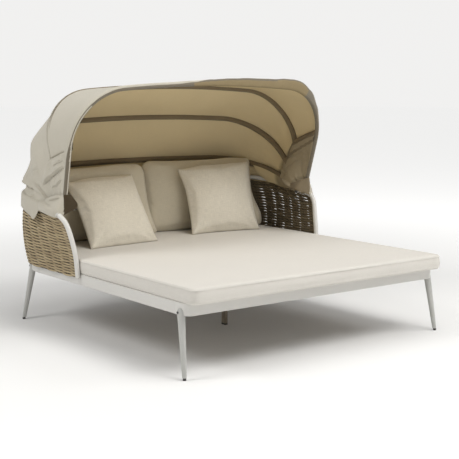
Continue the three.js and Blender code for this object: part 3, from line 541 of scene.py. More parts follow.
def sheetFaces(piece, size):
    # each face of a sheet, with its shares along and across it
    layer = piece.data.uv_layers[0].data
    for polygon in piece.data.polygons:
        corner = [layer[loop].uv for loop in polygon.loop_indices]
        along = sum(uv.x for uv in corner) / len(corner) / size[0]
        across = sum(uv.y for uv in corner) / len(corner) / size[1]
        yield polygon, along, across


def thicken(piece, thickness, offset=-1.0, inner=0):
    wall = piece.modifiers.new("thickness", "SOLIDIFY")
    wall.thickness = thickness
    wall.offset = offset
    wall.use_even_offset = False
    wall.material_offset = inner
    wall.material_offset_rim = 0


# rigid pieces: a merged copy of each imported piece, eased at its edges
easedEdges = {"white_frame": 0.0012, "leg_finish": 0.0008, "taupe_metal": 0.0015,
              "dark_plastic": 0.0006, "clamp_steel": 0.0006}


def dressNode(node):
    bm = bmesh.new()
    bm.from_mesh(nodes[node].data)
    bmesh.ops.remove_doubles(bm, verts=bm.verts, dist=meshing["merge"])
    flatAngle = math.radians(meshing["flatAngle"])
    bmesh.ops.dissolve_limit(bm, angle_limit=flatAngle, verts=bm.verts, edges=bm.edges)
    crease = math.radians(meshing["crease"])
    sharp = [edge for edge in bm.edges
             if len(edge.link_faces) == 2 and edge.calc_face_angle(0) > crease]
    bmesh.ops.bevel(bm, geom=sharp, offset=easedEdges[slotOfNode[node]], affect="EDGES",
                    segments=meshing["edgeSegments"], profile=0.5, material=-1, clamp_overlap=True)
    sharpen(bm)
    boxUv(bm)
    piece = finishMesh(node + "_dressed", bm, finishOfSlot[slotOfNode[node]])
    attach(piece, bodyOfNode[node])
    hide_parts(node)


for node in sorted(nodes):
    if slotOfNode[node] in easedEdges and node != "back_hoop":
        dressNode(node)
print("rigid pieces dressed")

# arm and back hoop, one bent tube
hoop = {
    "tube": 0.014, "sides": 20, "frameHalf": 0.874, "frameRear": 0.918, "frameTop": 0.374,
    "footDrop": 0.022,
    "footX": 0.8886, "footY": 0.178,
    "armY": (0.189, 0.213, 0.241, 0.284), "armOut": (0.019, 0.030, 0.045, 0.060),
    "armRise": (0.101, 0.196, 0.276, 0.318),
    "front": 0.332, "halfWidth": 0.938, "back": 0.975, "rise": 0.339, "corner": 0.345,
    "slope": 0.139, "ease": 0.250, "armSteps": 10, "steps": 120,
}


def aroundBack(share, halfWidth, back, radius, front):
    # place and outward way along a U that is open to the front
    straight = halfWidth - radius
    bend = radius * math.pi / 2
    side = back - radius - front
    hand = -1 if share < 0.5 else 1
    along = abs(2 * share - 1) * (straight + bend + side)
    if along <= straight:
        return Vector((hand * along, back, 0)), Vector((0, 1, 0))
    if along <= straight + bend:
        turn = (along - straight) / radius
        out = Vector((hand * math.sin(turn), math.cos(turn), 0))
        return Vector((hand * straight, back - radius, 0)) + radius * out, out
    return Vector((hand * halfWidth, back - radius - (along - straight - bend), 0)), Vector((hand, 0, 0))


def hoopHeight(y):
    along = max(y - hoop["front"], 0)
    eased = max(y - hoop["back"] + hoop["ease"], 0)
    height = along - eased * eased / (2 * hoop["ease"])
    return hoop["frameTop"] + hoop["rise"] + hoop["slope"] * height


def catmullPoints(keys, steps):
    # a smooth run through every key
    ends = [keys[0] * 2 - keys[1], *keys, keys[-1] * 2 - keys[-2]]
    points = []
    for i in range(1, len(ends) - 2):
        before, here, there, after = ends[i - 1:i + 3]
        for step in range(steps):
            t = step / steps
            points.append(0.5 * (2 * here + (there - before) * t
                          + (2 * before - 5 * here + 4 * there - after) * t * t
                          + (3 * here - before - 3 * there + after) * t ** 3))
    return [*points, keys[-1]]


def armPoints():
    top = hoop["frameTop"]
    keys = [Vector((hoop["footX"], hoop["footY"], top - hoop["footDrop"])),
            Vector((hoop["footX"], hoop["footY"], top))]
    for y, out, rise in zip(hoop["armY"], hoop["armOut"], hoop["armRise"]):
        keys.append(Vector((hoop["frameHalf"] + out, y, top + rise)))
    keys.append(Vector((hoop["halfWidth"], hoop["front"], top + hoop["rise"])))
    return catmullPoints(keys, hoop["armSteps"])


def mirrorX(point):
    return Vector((-point.x, point.y, point.z))


def hoopPoints():
    right = armPoints()
    around = []
    for step in range(1, hoop["steps"]):
        place, out = aroundBack(step / hoop["steps"], hoop["halfWidth"], hoop["back"],
                                hoop["corner"], hoop["front"])
        around.append(Vector((place.x, place.y, hoopHeight(place.y))))
    return [mirrorX(point) for point in right] + around + right[::-1]


def tubePiece(name, points, radius, sides, *materials):
    # a round tube along points, as a bevelled curve made into a mesh
    curve = bpy.data.curves.new(name, "CURVE")
    curve.dimensions = "3D"
    curve.bevel_depth = radius
    curve.bevel_resolution = sides // 2 - 2
    curve.use_fill_caps = True
    spline = curve.splines.new("POLY")
    spline.points.add(len(points) - 1)
    for place, point in zip(spline.points, points):
        place.co = (*point, 1)
    holder = bpy.data.objects.new(name + "_path", curve)
    mesh = bpy.data.meshes.new_from_object(holder)
    bpy.data.objects.remove(holder)
    bm = bmesh.new()
    bm.from_mesh(mesh)
    bpy.data.meshes.remove(mesh)
    bmesh.ops.remove_doubles(bm, verts=bm.verts, dist=meshing["tubeMerge"])
    bmesh.ops.recalc_face_normals(bm, faces=bm.faces)
    sharpen(bm, meshing["tubeCrease"])
    boxUv(bm)
    return finishMesh(name, bm, *materials)


hoopTube = tubePiece("back_hoop_tube", hoopPoints(), hoop["tube"], hoop["sides"], whiteCoat)
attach(hoopTube, "bed")
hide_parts("back_hoop")
print("hoop bent")

# woven shell: upright stakes, and strands that pass in front of and behind them by turns
weave = {
    "bottom": 0.353, "bulge": 0.032, "stakePitch": 0.100, "stakeRadius": 0.0042,
    "strandPitch": 0.0100, "heightBetween": 0.0098, "height": 0.0122, "widening": (0.2, 0.75),
    "strandThickness": 0.0060, "swing": 0.0046, "squareness": 0.75, "stepsPerStake": 8, "sides": 8,
    "wander": 0.0022, "wanderAlong": 0.165, "wanderUp": 3.7,
    "partedLow": 0.0007, "partedHigh": 0.0018, "crossing": 0.75,
    "stakeSteps": 10, "stakeSides": 6, "stakeEnds": (0.002, 0.998),
    "edgeReach": 0.0185, "inset": 0.0135, "rearCorner": 0.2135,
    "edgeRod": 0.0052, "topRod": 0.0048, "rodSides": 8, "rodRise": 0.004, "topDrop": 0.001,
    "rodEnds": (0.004, 0.996),
}
# painted shade on the cane, kept in the proud attribute: 1 where it stands forward, down to 0 deep in the weave;
# the inward side of each strand, the stakes and the edge rods are painted darker
caneShade = {"behind": 0.26, "ahead": (0.02, 0.45), "facing": (-0.3, 0.9),
             "stake": 0.6, "stakeFacing": (-0.9, 0.5), "rod": 0.8}


def shellEdges():
    # the shell's front edge follows the arm, just behind it
    points = armPoints()
    edges = []
    for low, high in zip(points, points[1:]):
        run = Vector((0, high.y - low.y, high.z - low.z)).normalized()
        middle = (low + high) / 2
        edges.append(Vector((middle.x, middle.y + run.z * weave["edgeReach"],
                             middle.z - run.y * weave["edgeReach"])))
    return edges


edgeLine = shellEdges()
frontTop = hoop["frameTop"] + hoop["rise"] - weave["edgeReach"]


def edgeAt(height):
    for low, high in zip(edgeLine, edgeLine[1:]):
        if high.z >= height:
            return low.lerp(high, clamp((height - low.z) / max(high.z - low.z, 1e-6)))
    return edgeLine[-1]


def shellPoint(share, rise):
    # middle of the shell's wall, and the way out of it
    edge = edgeAt(weave["bottom"] + rise * (frontTop - weave["bottom"]))
    halfWidth = max(edge.x, hoop["frameHalf"] + weave["inset"])
    back = lerp(hoop["frameRear"] + weave["inset"], hoop["back"], rise)
    radius = lerp(weave["rearCorner"], hoop["corner"], rise)
    place, out = aroundBack(share, halfWidth, back, radius, edge.y)
    top = hoopHeight(place.y) - weave["edgeReach"]
    fade = ease(edge.y, back - radius, place.y)
    bulge = 4 * rise * (1 - rise) * weave["bulge"] * fade
    height = weave["bottom"] + rise * (top - weave["bottom"])
    return Vector((place.x, place.y, height)) + out * bulge, out


def weaveStrands():
    run = 2 * (hoop["frameRear"] - hoop["footY"]) + 2 * hoop["frameHalf"]
    stakes = round(run / weave["stakePitch"])
    strands = round((hoopHeight(hoop["back"]) - weave["bottom"]) / weave["strandPitch"])
    steps = stakes * weave["stepsPerStake"]
    bm = bmesh.new()
    layer = bm.loops.layers.uv.new("weave")
    proud = bm.verts.layers.float.new("proud")
    for strand in range(strands):
        rise = (strand + 0.5) / strands
        sign = 1 if strand % 2 else -1
        middles = []
        for step in range(steps + 1):
            middle, out = shellPoint(step / steps, rise)
            drift = noise.noise(Vector((step * weave["wanderAlong"], strand * weave["wanderUp"], 0)))
            wave = sign * math.cos(math.pi * step / weave["stepsPerStake"])
            flat = math.copysign(abs(wave) ** weave["squareness"], wave)
            # where two strands cross they part from one neighbour and close on the other
            parted = 1 if (strand + step // weave["stepsPerStake"]) % 2 else -1
            crossing = math.exp(-(flat / weave["crossing"]) ** 4)
            gap = lerp(weave["partedLow"], weave["partedHigh"], rise) * parted * crossing
            lift = Vector((0, 0, weave["wander"] * drift + gap))
            middles.append((middle + out * weave["swing"] * flat + lift, out, flat))
        made = bmesh.ops.create_grid(bm, x_segments=steps, y_segments=weave["sides"], size=1)
        for vert in made["verts"]:
            step = round((vert.co.x + 1) / 2 * steps)
            turn = math.pi * (vert.co.y + 1)
            middle, out, flat = middles[step]
            ahead = 0.5 + 0.5 * flat
            height = lerp(weave["heightBetween"], weave["height"], ease(*weave["widening"], abs(flat)))
            # painted shade: darker where the strand lies behind, and on its inward side
            outer = ease(*caneShade["facing"], math.cos(turn))
            vert[proud] = lerp(caneShade["behind"], ease(*caneShade["ahead"], ahead), outer)
            vert.co = (middle + out * math.cos(turn) * weave["strandThickness"] / 2
                       + Vector((0, 0, math.sin(turn) * height / 2)))
        for face in {face for vert in made["verts"] for face in vert.link_faces}:
            face.smooth = True
    bmesh.ops.remove_doubles(bm, verts=bm.verts, dist=meshing["merge"])
    bmesh.ops.holes_fill(bm, edges=[edge for edge in bm.edges if len(edge.link_faces) == 1])
    bmesh.ops.recalc_face_normals(bm, faces=bm.faces)
    for face in bm.faces:
        for loop in face.loops:
            loop[layer].uv = (loop.vert.co.x + loop.vert.co.y, loop.vert.co.z)
    piece = finishMesh("woven_strands", bm, cane)
    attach(piece, "bed")
    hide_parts("wicker_shell")
    return stakes


def plantStakes(stakes):
    bm = bmesh.new()
    proud = bm.verts.layers.float.new("proud")
    for stake in range(stakes + 1):
        share = clamp(stake / stakes, *weave["stakeEnds"])
        made = bmesh.ops.create_grid(bm, x_segments=weave["stakeSteps"],
                                     y_segments=weave["stakeSides"], size=1)
        for vert in made["verts"]:
            rise = (vert.co.x + 1) / 2
            turn = math.pi * (vert.co.y + 1)
            middle, out = shellPoint(share, rise)
            along = Vector((-out.y, out.x, 0))
            # painted shade: the stakes are darker, most on their inward side
            vert[proud] = caneShade["stake"] * ease(*caneShade["stakeFacing"], math.cos(turn))
            vert.co = (middle + out * math.cos(turn) * weave["stakeRadius"]
                       + along * math.sin(turn) * weave["stakeRadius"])
    bmesh.ops.remove_doubles(bm, verts=bm.verts, dist=meshing["merge"])
    bmesh.ops.holes_fill(bm, edges=[edge for edge in bm.edges if len(edge.link_faces) == 1])
    bmesh.ops.recalc_face_normals(bm, faces=bm.faces)
    sharpen(bm, meshing["stakeCrease"])
    boxUv(bm)
    piece = finishMesh("woven_stakes", bm, cane)
    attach(piece, "bed")


stakeCount = weaveStrands()
plantStakes(stakeCount)


def placeRod(rod):
    # the edge rods get a fixed painted shade
    proud = rod.data.attributes.new("proud", "FLOAT", "POINT")
    for value in proud.data:
        value.value = caneShade["rod"]
    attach(rod, "bed")


def edgeBorders():
    # a rod wrapped with cane finishes each front edge and the top, and hides the strands' ends
    for side, hand in (("left", -1), ("right", 1)):
        points = [Vector((hand * max(edge.x, hoop["frameHalf"] + weave["inset"]), edge.y, edge.z))
                  for edge in edgeLine if edge.z > weave["bottom"] + weave["rodRise"]]
        placeRod(tubePiece("woven_edge_" + side, points, weave["edgeRod"], weave["rodSides"], cane))
    steps = hoop["steps"]
    down = Vector((0, 0, -weave["topDrop"]))
    points = [shellPoint(lerp(*weave["rodEnds"], step / steps), 1.0)[0] + down
              for step in range(steps + 1)]
    placeRod(tubePiece("woven_edge_top", points, weave["topRod"], weave["rodSides"], cane))


edgeBorders()
print("shell woven")

# canopy outline in a bow's own plane
bow = {
    "reach": 0.722, "halfWidth": 0.905, "footX": 0.894, "crownHalf": 0.600, "crownDrop": 0.026,
    "stack": 0.0196, "flare": 0.205,
    "angles": {"rear": 15.5, "third": 41.5, "second": 69.5, "front": 105.5},
    "order": {"rear": 3, "third": 2, "second": 1, "front": 0},
}
crownSlope = math.atan(2 * bow["crownDrop"] / bow["crownHalf"])
cornerRadius = (bow["halfWidth"] - bow["crownHalf"]) / (1 - math.sin(crownSlope))
cornerX = bow["crownHalf"] - cornerRadius * math.sin(crownSlope)
cornerReach = bow["reach"] - bow["crownDrop"] - cornerRadius * math.cos(crownSlope)
cornerRun = cornerRadius * (math.pi / 2 - crownSlope)


def outlineAt(share, start):
    # x, reach and outward way along a bow, from its left foot to its right foot
    hand = -1 if share < 0.5 else 1
    sideRun = cornerReach - start
    total = sideRun + cornerRun + bow["crownHalf"]
    along = (1 - abs(2 * share - 1)) * total
    if along <= sideRun:
        reach = start + along
        x = lerp(bow["footX"], bow["halfWidth"], reach / cornerReach)
        return hand * x, reach, hand * 1.0, 0.0
    if along <= sideRun + cornerRun:
        turn = (along - sideRun) / cornerRadius
        out = (math.cos(turn), math.sin(turn))
        return (hand * (cornerX + cornerRadius * out[0]), cornerReach + cornerRadius * out[1],
                hand * out[0], out[1])
    level = 1 - (along - sideRun - cornerRun) / bow["crownHalf"]
    slope = crownSlope * level
    return (hand * bow["crownHalf"] * level, bow["reach"] - bow["crownDrop"] * level * level,
            hand * math.sin(slope), math.cos(slope))


def outlineLength(start):
    return 2 * (cornerReach - start + cornerRun + bow["crownHalf"])


def overBow(station, angle, distance):
    x, reach, outX, outReach = station
    turn = math.radians(angle)
    far = reach + outReach * distance
    return Vector((x + outX * distance, pivot.y + far * math.cos(turn), pivot.z + far * math.sin(turn)))


def outWay(station, angle):
    x, reach, outX, outReach = station
    turn = math.radians(angle)
    return Vector((outX, outReach * math.cos(turn), outReach * math.sin(turn))).normalized()


def aheadWay(angle):
    # square to a bow's plane, to the side on which the canopy opens
    turn = math.radians(angle)
    return Vector((0, -math.sin(turn), math.cos(turn)))


def footInset(name, reach):
    # bows stand one inside the other at their feet
    share = min(reach / bow["flare"], 1.0)
    return bow["order"][name] * bow["stack"] * math.sqrt(1 - share * share)


# folds of the cloth on each side, as lines of y and z. Cloth rises slowly to a fold and drops
# sharply past it, upward or downward.
folds = {
    -1: [
        {"line": [(0.239, 1.050), (0.268, 1.039), (0.336, 1.019), (0.396, 1.000), (0.431, 0.978),
                  (0.459, 0.940), (0.514, 0.883)], "height": 0.012, "width": 0.034, "up": 1},
        {"line": [(0.250, 0.979), (0.322, 0.948), (0.391, 0.920), (0.462, 0.886), (0.534, 0.844)],
         "height": 0.013, "width": 0.034, "up": -1},
        {"line": [(0.300, 0.802), (0.342, 0.790), (0.381, 0.781), (0.410, 0.780)],
         "height": 0.008, "width": 0.030, "up": -1},
        {"line": [(0.640, 0.850), (0.560, 0.826), (0.502, 0.789), (0.442, 0.753), (0.383, 0.734),
                  (0.332, 0.727)], "height": 0.009, "width": 0.036, "up": 1},
        {"line": [(0.780, 0.856), (0.734, 0.846), (0.688, 0.839), (0.652, 0.827), (0.600, 0.820)],
         "height": 0.011, "width": 0.026, "up": -1},
        {"line": [(0.626, 0.790), (0.619, 0.758), (0.612, 0.734)], "height": 0.006, "width": 0.012, "up": 1},
        {"line": [(0.300, 0.900), (0.360, 0.862), (0.430, 0.842)], "height": 0.005, "width": 0.020, "up": -1},
        {"line": [(0.262, 1.012), (0.330, 0.988), (0.385, 0.968)], "height": 0.005, "width": 0.014, "up": -1},
        {"line": [(0.560, 0.935), (0.610, 0.925), (0.680, 0.905)], "height": 0.005, "width": 0.022, "up": 1},
    ],
    1: [
        {"line": [(0.232, 1.065), (0.360, 1.010), (0.483, 0.942)], "height": 0.014, "width": 0.036, "up": 1},
        {"line": [(0.250, 0.990), (0.350, 0.950), (0.440, 0.900)], "height": 0.007, "width": 0.030, "up": 1},
        {"line": [(0.300, 0.930), (0.400, 0.900), (0.500, 0.880)], "height": 0.008, "width": 0.026, "up": 1},
        {"line": [(0.640, 0.850), (0.560, 0.826), (0.502, 0.789), (0.442, 0.753)],
         "height": 0.008, "width": 0.034, "up": 1},
        {"line": [(0.780, 0.856), (0.700, 0.840), (0.600, 0.820)], "height": 0.009, "width": 0.026, "up": -1},
    ],
}
# slow swells and hollows on the sides: angle, reach, their spreads, and height
swells = [
    (44, 0.50, 9, 0.10, 0.014), (27, 0.49, 6.5, 0.10, -0.011), (13, 0.50, 6, 0.10, 0.016),
    (61, 0.62, 9, 0.09, -0.012), (85, 0.20, 16, 0.07, 0.005), (58, 0.40, 8, 0.07, -0.004),
]
canopy = {
    "start": 0.034, "rest": 0.0125, "columns": 460, "rows": 36, "thickness": 0.0016,
    "crownSag": 0.007, "crownSlope": (0.75, 1.0), "sideSlope": (0.9, 0.45), "footReach": (0.03, 0.07),
    "ripple": 0.0022, "rippleScales": (5, 9, 0.09), "crease": 0.0009, "creaseScales": (16, 26, 0.35),
    "slack": 0.005, "slackScales": (3, 15, 0.06), "slackReach": (0.46, 0.24),
    "wrapShare": 0.9, "wrapLow": 4, "wrapHigh": 84, "wrapRaised": 6, "wrapReach": (0.27, 0.42),
    "raised": (0.004, 0.016), "hemTaper": 1.6, "hemSmooth": (1.0, 0.93), "hemTurn": 0.02,
    "foldDrop": 0.0050, "foldScale": {-1: 1.45, 1: 1.0}, "foldReach": 2.6,
    "foldStart": (-0.02, 0.16), "foldEnd": (1.02, 0.72),
    "grooveAt": 0.009, "grooveWidth": 0.005, "grooveShare": 0.5,
    "swellReach": 6, "farSide": 0.6, "cutShare": 0.80,
}


def foldOffset(fold, y, z):
    # signed distance across a fold's line and how far along it the nearest point is
    best = None
    line = fold["line"]
    for index, ((y0, z0), (y1, z1)) in enumerate(zip(line, line[1:])):
        runY, runZ = y1 - y0, z1 - z0
        share = clamp(((y - y0) * runY + (z - z0) * runZ) / (runY * runY + runZ * runZ))
        offY, offZ = y - y0 - runY * share, z - z0 - runZ * share
        far = math.hypot(offY, offZ)
        if best is None or far < best[0]:
            above = 1 if offZ * abs(runY) - offY * math.copysign(runZ, runZ * runY) >= 0 else -1
            best = (far, above * fold["up"], (index + share) / (len(line) - 1))
    return best


def foldHeight(point, hand):
    total = 0.0
    for fold in folds[hand]:
        far, side, share = foldOffset(fold, point.y, point.z)
        width = fold["width"]
        if far > canopy["foldReach"] * width:
            continue
        fade = ease(*canopy["foldStart"], share) * ease(*canopy["foldEnd"], share)
        reach = far / canopy["foldDrop"] if side > 0 else far / width
        offGroove = (far - canopy["grooveAt"]) / canopy["grooveWidth"]
        groove = math.exp(-offGroove ** 2) if side > 0 else 0
        height = fold["height"] * canopy["foldScale"][hand]
        total += height * fade * (math.exp(-reach * reach) - canopy["grooveShare"] * groove)
    return total


def swellHeight(angle, reach, hand):
    total = 0.0
    for atAngle, atReach, wide, tall, height in swells:
        off = ((angle - atAngle) / wide) ** 2 + ((reach - atReach) / tall) ** 2
        if off < canopy["swellReach"]:
            total += height * math.exp(-off)
    return total * (1 if hand < 0 else canopy["farSide"])


def clothRelief(station, angle, across, point):
    # how far the cloth stands out of the straight span between its bows
    x, reach, outX, outReach = station
    hand = -1 if x < 0 else 1
    side = ease(*canopy["sideSlope"], outReach)
    arch = math.sin(math.pi * across)
    sag = -canopy["crownSag"] * arch * ease(*canopy["crownSlope"], outReach)
    ripples = canopy["ripple"] * arch * unevenAt(canopy["rippleScales"], x, reach, angle)
    fine = canopy["crease"] * arch * unevenAt(canopy["creaseScales"], x, reach, angle)
    slack = canopy["slack"] * side * ease(*canopy["slackReach"], reach)
    slack *= unevenAt(canopy["slackScales"], hand, reach, angle)
    shaped = swellHeight(angle, reach, hand) + foldHeight(point, hand)
    return sag + ripples + fine + slack * arch + shaped * side * ease(*canopy["footReach"], reach)


# puckers in the front panel's corners: share along and across at both ends, and height
puckers = [
    ((0.385, 0.98), (0.455, 0.35), 0.0045), ((0.400, 0.98), (0.470, 0.45), 0.0040),
    ((0.366, 0.98), (0.425, 0.55), 0.0035), ((0.350, 0.95), (0.395, 0.60), 0.0030),
    ((0.425, 0.98), (0.480, 0.70), 0.0035), ((0.330, 0.95), (0.372, 0.30), 0.0030),
]
pucker = {"aspect": 0.12, "width": 0.0042, "start": (-0.05, 0.3), "end": (1.05, 0.6)}
# the front hem stands above the bow by so much, by share along from one foot to the other
hemStations = [(0.0, 0.0), (0.33, 0.004), (0.40, 0.004), (0.45, 0.008), (0.50, 0.014), (0.55, 0.022),
               (0.60, 0.028), (0.66, 0.032), (0.70, 0.042), (0.735, 0.044), (0.77, 0.032),
               (0.81, 0.012), (0.85, 0.0), (1.0, 0.0)]


def hemRise(share):
    for (low, lowRise), (high, highRise) in zip(hemStations, hemStations[1:]):
        if share <= high:
            return lerp(lowRise, highRise, ease(low, high, share))
    return 0.0


def puckerHeight(along, across):
    total = 0.0
    share = min(along, 1 - along)
    aspect = pucker["aspect"]
    for (along0, across0), (along1, across1), height in puckers:
        run = (along1 - along0, (across1 - across0) * aspect)
        off = (share - along0, (across - across0) * aspect)
        length = run[0] ** 2 + run[1] ** 2
        place = clamp((off[0] * run[0] + off[1] * run[1]) / length)
        far = math.hypot(off[0] - run[0] * place, off[1] - run[1] * place)
        ridge = height * math.exp(-(far / pucker["width"]) ** 2)
        total += ridge * ease(*pucker["start"], place) * ease(*pucker["end"], place)
    return total


def gorePiece(name, low, high):
    lowAngle, highAngle = bow["angles"][low], bow["angles"][high]
    wrapShare = canopy["wrapShare"] if name == "front" else 1.0

    def place(along, across):
        station = outlineAt(along, canopy["start"])
        away = outWay(station, highAngle)
        rise = hemRise(along) if name == "front" else 0
        if across > wrapShare:
            full = lerp(canopy["wrapLow"], canopy["wrapHigh"], ease(*canopy["wrapReach"], station[1]))
            full = lerp(full, canopy["wrapRaised"], ease(*canopy["raised"], rise))
            turn = math.radians(full) * (across - wrapShare) / (1 - wrapShare)
            return (overBow(station, highAngle, 0) + away * math.cos(turn) * (canopy["rest"] + rise)
                    + aheadWay(highAngle) * math.sin(turn) * canopy["rest"])
        share = across / wrapShare
        angle = lerp(lowAngle, highAngle, share)
        point = overBow(station, lowAngle, canopy["rest"]).lerp(
            overBow(station, highAngle, canopy["rest"]), share)
        relief = clothRelief(station, angle, share, point)
        if name == "front":
            relief = (relief * ease(*canopy["hemSmooth"], share) - puckerHeight(along, share)
                      + rise * share ** canopy["hemTaper"])
        return point + outWay(station, angle) * relief

    width = outlineLength(canopy["start"])
    depth = bow["reach"] * math.radians(highAngle - lowAngle)
    depth += canopy["hemTurn"] if name == "front" else 0
    piece = gridPiece("canopy_" + name, canopy["columns"], canopy["rows"], place, (width, depth),
                      canopyCloth, canopyLining, spread=sideHeavy)
    facing(piece)
    thicken(piece, canopy["thickness"], inner=1)
    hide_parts("gore_" + name)
    blendFold(piece)


def facing(piece, centre=(0, pivot.y, pivot.z)):
    # turns a sheet so that its face looks away from a centre
    mesh = piece.data
    total = 0.0
    for polygon in mesh.polygons:
        total += polygon.normal.dot(polygon.center - Vector(centre)) * polygon.area
    if total < 0:
        mesh.flip_normals()


def blendFold(piece):
    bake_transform(piece)


gorePiece("rear", "rear", "third")
gorePiece("middle", "third", "second")
gorePiece("front", "second", "front")
print("canopy stretched")

# low on each side a second layer covers the bows' feet on the inside
lining = {
    "columns": 60, "rows": 26, "start": 0.046, "proud": 0.0150, "thickness": 0.0012, "arch": 0.004,
    "tops": {"rear": 0.262, "third": 0.276, "second": 0.347, "front": 0.420}, "shadeBand": 0.046,
    "bulge": 0.006, "bulgeScales": (5, 14, 0.07), "turned": 0.010, "turnedShares": (0.94, 1.0),
    "overFeet": 0.009, "feetTo": (0.285, 0.225), "feetFrom": (0.066, 0.10), "feetAngles": (72, 60),
    "foldShare": 0.6, "foldLower": 0.05, "foldShares": (1.0, 0.9),
    "pleat": 0.0085, "pleatEnds": ((0.475, 0.947), (0.262, 1.043)), "pleatStep": 0.008,
    "pleatEdge": (-0.004, 0.004), "pleatFade": (0.060, 0.010), "cutShare": 0.55,
}


def liningTop(angle):
    # how far up a bow the lining reaches, and between two bows
    marks = sorted((bow["angles"][name], top) for name, top in lining["tops"].items())
    for (low, lowTop), (high, highTop) in zip(marks, marks[1:]):
        if angle <= high:
            return lerp(lowTop, highTop, clamp((angle - low) / (high - low)))
    return marks[-1][1]


def fromPleat(y, z):
    # how far below the pleat's line, and nothing near it behind its end
    (y0, z0), (y1, z1) = lining["pleatEnds"]
    run = Vector((y1 - y0, z1 - z0)).normalized()
    off = Vector((y - y0, z - z0))
    return off.x * run.y - off.y * run.x if off.dot(run) > 0 else 1.0


def sideStation(hand, reach):
    return hand * lerp(bow["footX"], bow["halfWidth"], reach / cornerReach), reach, hand, 0.0


def liningPiece(side, hand, name, low, high):
    lowAngle, highAngle = bow["angles"][low], bow["angles"][high]

    def place(along, across):
        angle = lerp(lowAngle, highAngle, across)
        reach = lerp(lining["start"], liningTop(angle), along)
        station = sideStation(hand, reach)
        depth = lining["proud"] + lerp(footInset(low, reach), footInset(high, reach), across)
        over = lining["overFeet"] * ease(*lining["feetTo"], reach) * ease(*lining["feetFrom"], reach)
        depth += over * ease(*lining["feetAngles"], angle)
        arch = math.sin(math.pi * across)
        slack = lining["bulge"] * arch * unevenAt(lining["bulgeScales"], hand, reach, angle)
        onSide = overBow(station, angle, 0)
        lower = onSide - Vector((0, 0, lining["foldLower"]))
        fold = lining["foldShare"] * foldHeight(lower, hand) * ease(*lining["foldShares"], along)
        turned = lining["turned"] * ease(*lining["turnedShares"], along)
        below = fromPleat(onSide.y, onSide.z)
        step = lining["pleatStep"] * ease(*lining["pleatEdge"], below) * ease(*lining["pleatFade"], below)
        return (overBow(station, lowAngle, -depth).lerp(overBow(station, highAngle, -depth), across)
                + Vector((hand, 0, 0)) * (turned - slack - fold + lining["arch"] * arch - step))

    top = (liningTop(lowAngle) + liningTop(highAngle)) / 2
    span = math.radians(highAngle - lowAngle)
    size = (round(top - lining["start"], 3), round(top * span, 3))
    piece = gridPiece("side_lining_" + name + "_" + side, lining["columns"], lining["rows"], place, size,
                      shadedSideLining, paintedShadeCloth)
    if name != "rear":
        # painted shade: a dark band along the top edge, and a painted fold shadow along a pleat under it
        for polygon, along, across in sheetFaces(piece, size):
            below = (1 - along) * liningTop(lerp(lowAngle, highAngle, across))
            inPleatShadow = abs(fromPleat(polygon.center.y, polygon.center.z)) < lining["pleat"]
            polygon.material_index = int(below < lining["shadeBand"] or inPleatShadow)
    thicken(piece, lining["thickness"], offset=0)
    blendFold(piece)


for sideName, sideHand in (("left", -1), ("right", 1)):
    liningPiece(sideName, sideHand, "rear", "rear", "third")
    liningPiece(sideName, sideHand, "middle", "third", "second")
    liningPiece(sideName, sideHand, "front", "second", "front")
print("sides lined")

# sleeves inside the canopy that hold the bows, coloured dark with painted shade
sleeve = {"width": 0.040, "depth": 0.0225, "columns": 260, "rows": 10, "roundness": 0.65,
          "under": 0.0022, "fullness": 1.6, "cutShare": 0.98,
          "starts": {"rear": 0.235, "third": 0.262, "second": 0.285}}


def sleevePiece(name, body):
    angle = bow["angles"][name]
    start = sleeve["starts"][name]

    def place(along, across):
        station = outlineAt(along, start)
        spread = 2 * across - 1
        hollow = max(0.0, 1 - spread * spread) ** sleeve["roundness"]
        distance = canopy["rest"] - sleeve["under"] - sleeve["depth"] * hollow
        turn = math.degrees(spread * sleeve["width"] / 2 / station[1])
        return overBow(station, angle + turn, distance)

    size = (outlineLength(start), sleeve["width"] * sleeve["fullness"])
    piece = gridPiece("bow_sleeve_" + name, sleeve["columns"], sleeve["rows"], place, size, paintedShadeCloth)
    thicken(piece, lining["thickness"], offset=0)
    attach(piece, body)


for bowName in ("rear", "third", "second"):
    sleevePiece(bowName, bowName + "_bow")

# a bound edge round the front bow, its dark colour partly painted shade, with a raised piping along its front that
# is painted pale low on the left as a painted highlight
binding = {
    "start": 0.060, "radius": 0.0127, "fromLow": -12, "fromHigh": 68, "fromRaised": -8, "to": 292,
    "columns": 300, "rows": 24, "width": 0.078, "lap": 0.0008, "lapShares": (0.0, 0.15),
    "piping": (84, 118), "pipingProud": 0.0010, "pipingBlend": 6, "litStripReach": 0.60,
    "crownSlope": 0.86, "hemFrom": 0.45, "hemDepth": 0.009, "hemTurn": 20,
    "fold": 0.006, "foldPitch": 60, "foldSlant": 3, "foldSeed": 7.7, "foldRaised": (0.010, 0.030),
    "foldStart": (0.0, 0.25), "foldEnd": (0.75, 0.5), "gather": 0.05, "gatherPitch": 70, "gatherSeed": 4.2,
}


def bindingTurn(across, share, reach):
    first = lerp(binding["fromLow"], binding["fromHigh"], ease(*canopy["wrapReach"], reach))
    first = lerp(first, binding["fromRaised"], ease(*canopy["raised"], hemRise(share)))
    return lerp(first, binding["to"], across)


def bindingCover(share, station, turn):
    # bound in dark cloth, partly painted shade; pale cloth on the piping low on the left as a painted highlight;
    # lined where the raised hem looks inward
    low, high = binding["piping"]
    if share < 0.5 and low < turn < high and station[1] < binding["litStripReach"]:
        return 1
    full = binding["radius"] + hemRise(share)
    height = math.cos(math.radians(turn)) * full
    onCrown = station[3] > binding["crownSlope"] and share > binding["hemFrom"]
    inward = height < full - binding["hemDepth"] and turn > binding["hemTurn"]
    return 2 if onCrown and inward else 0


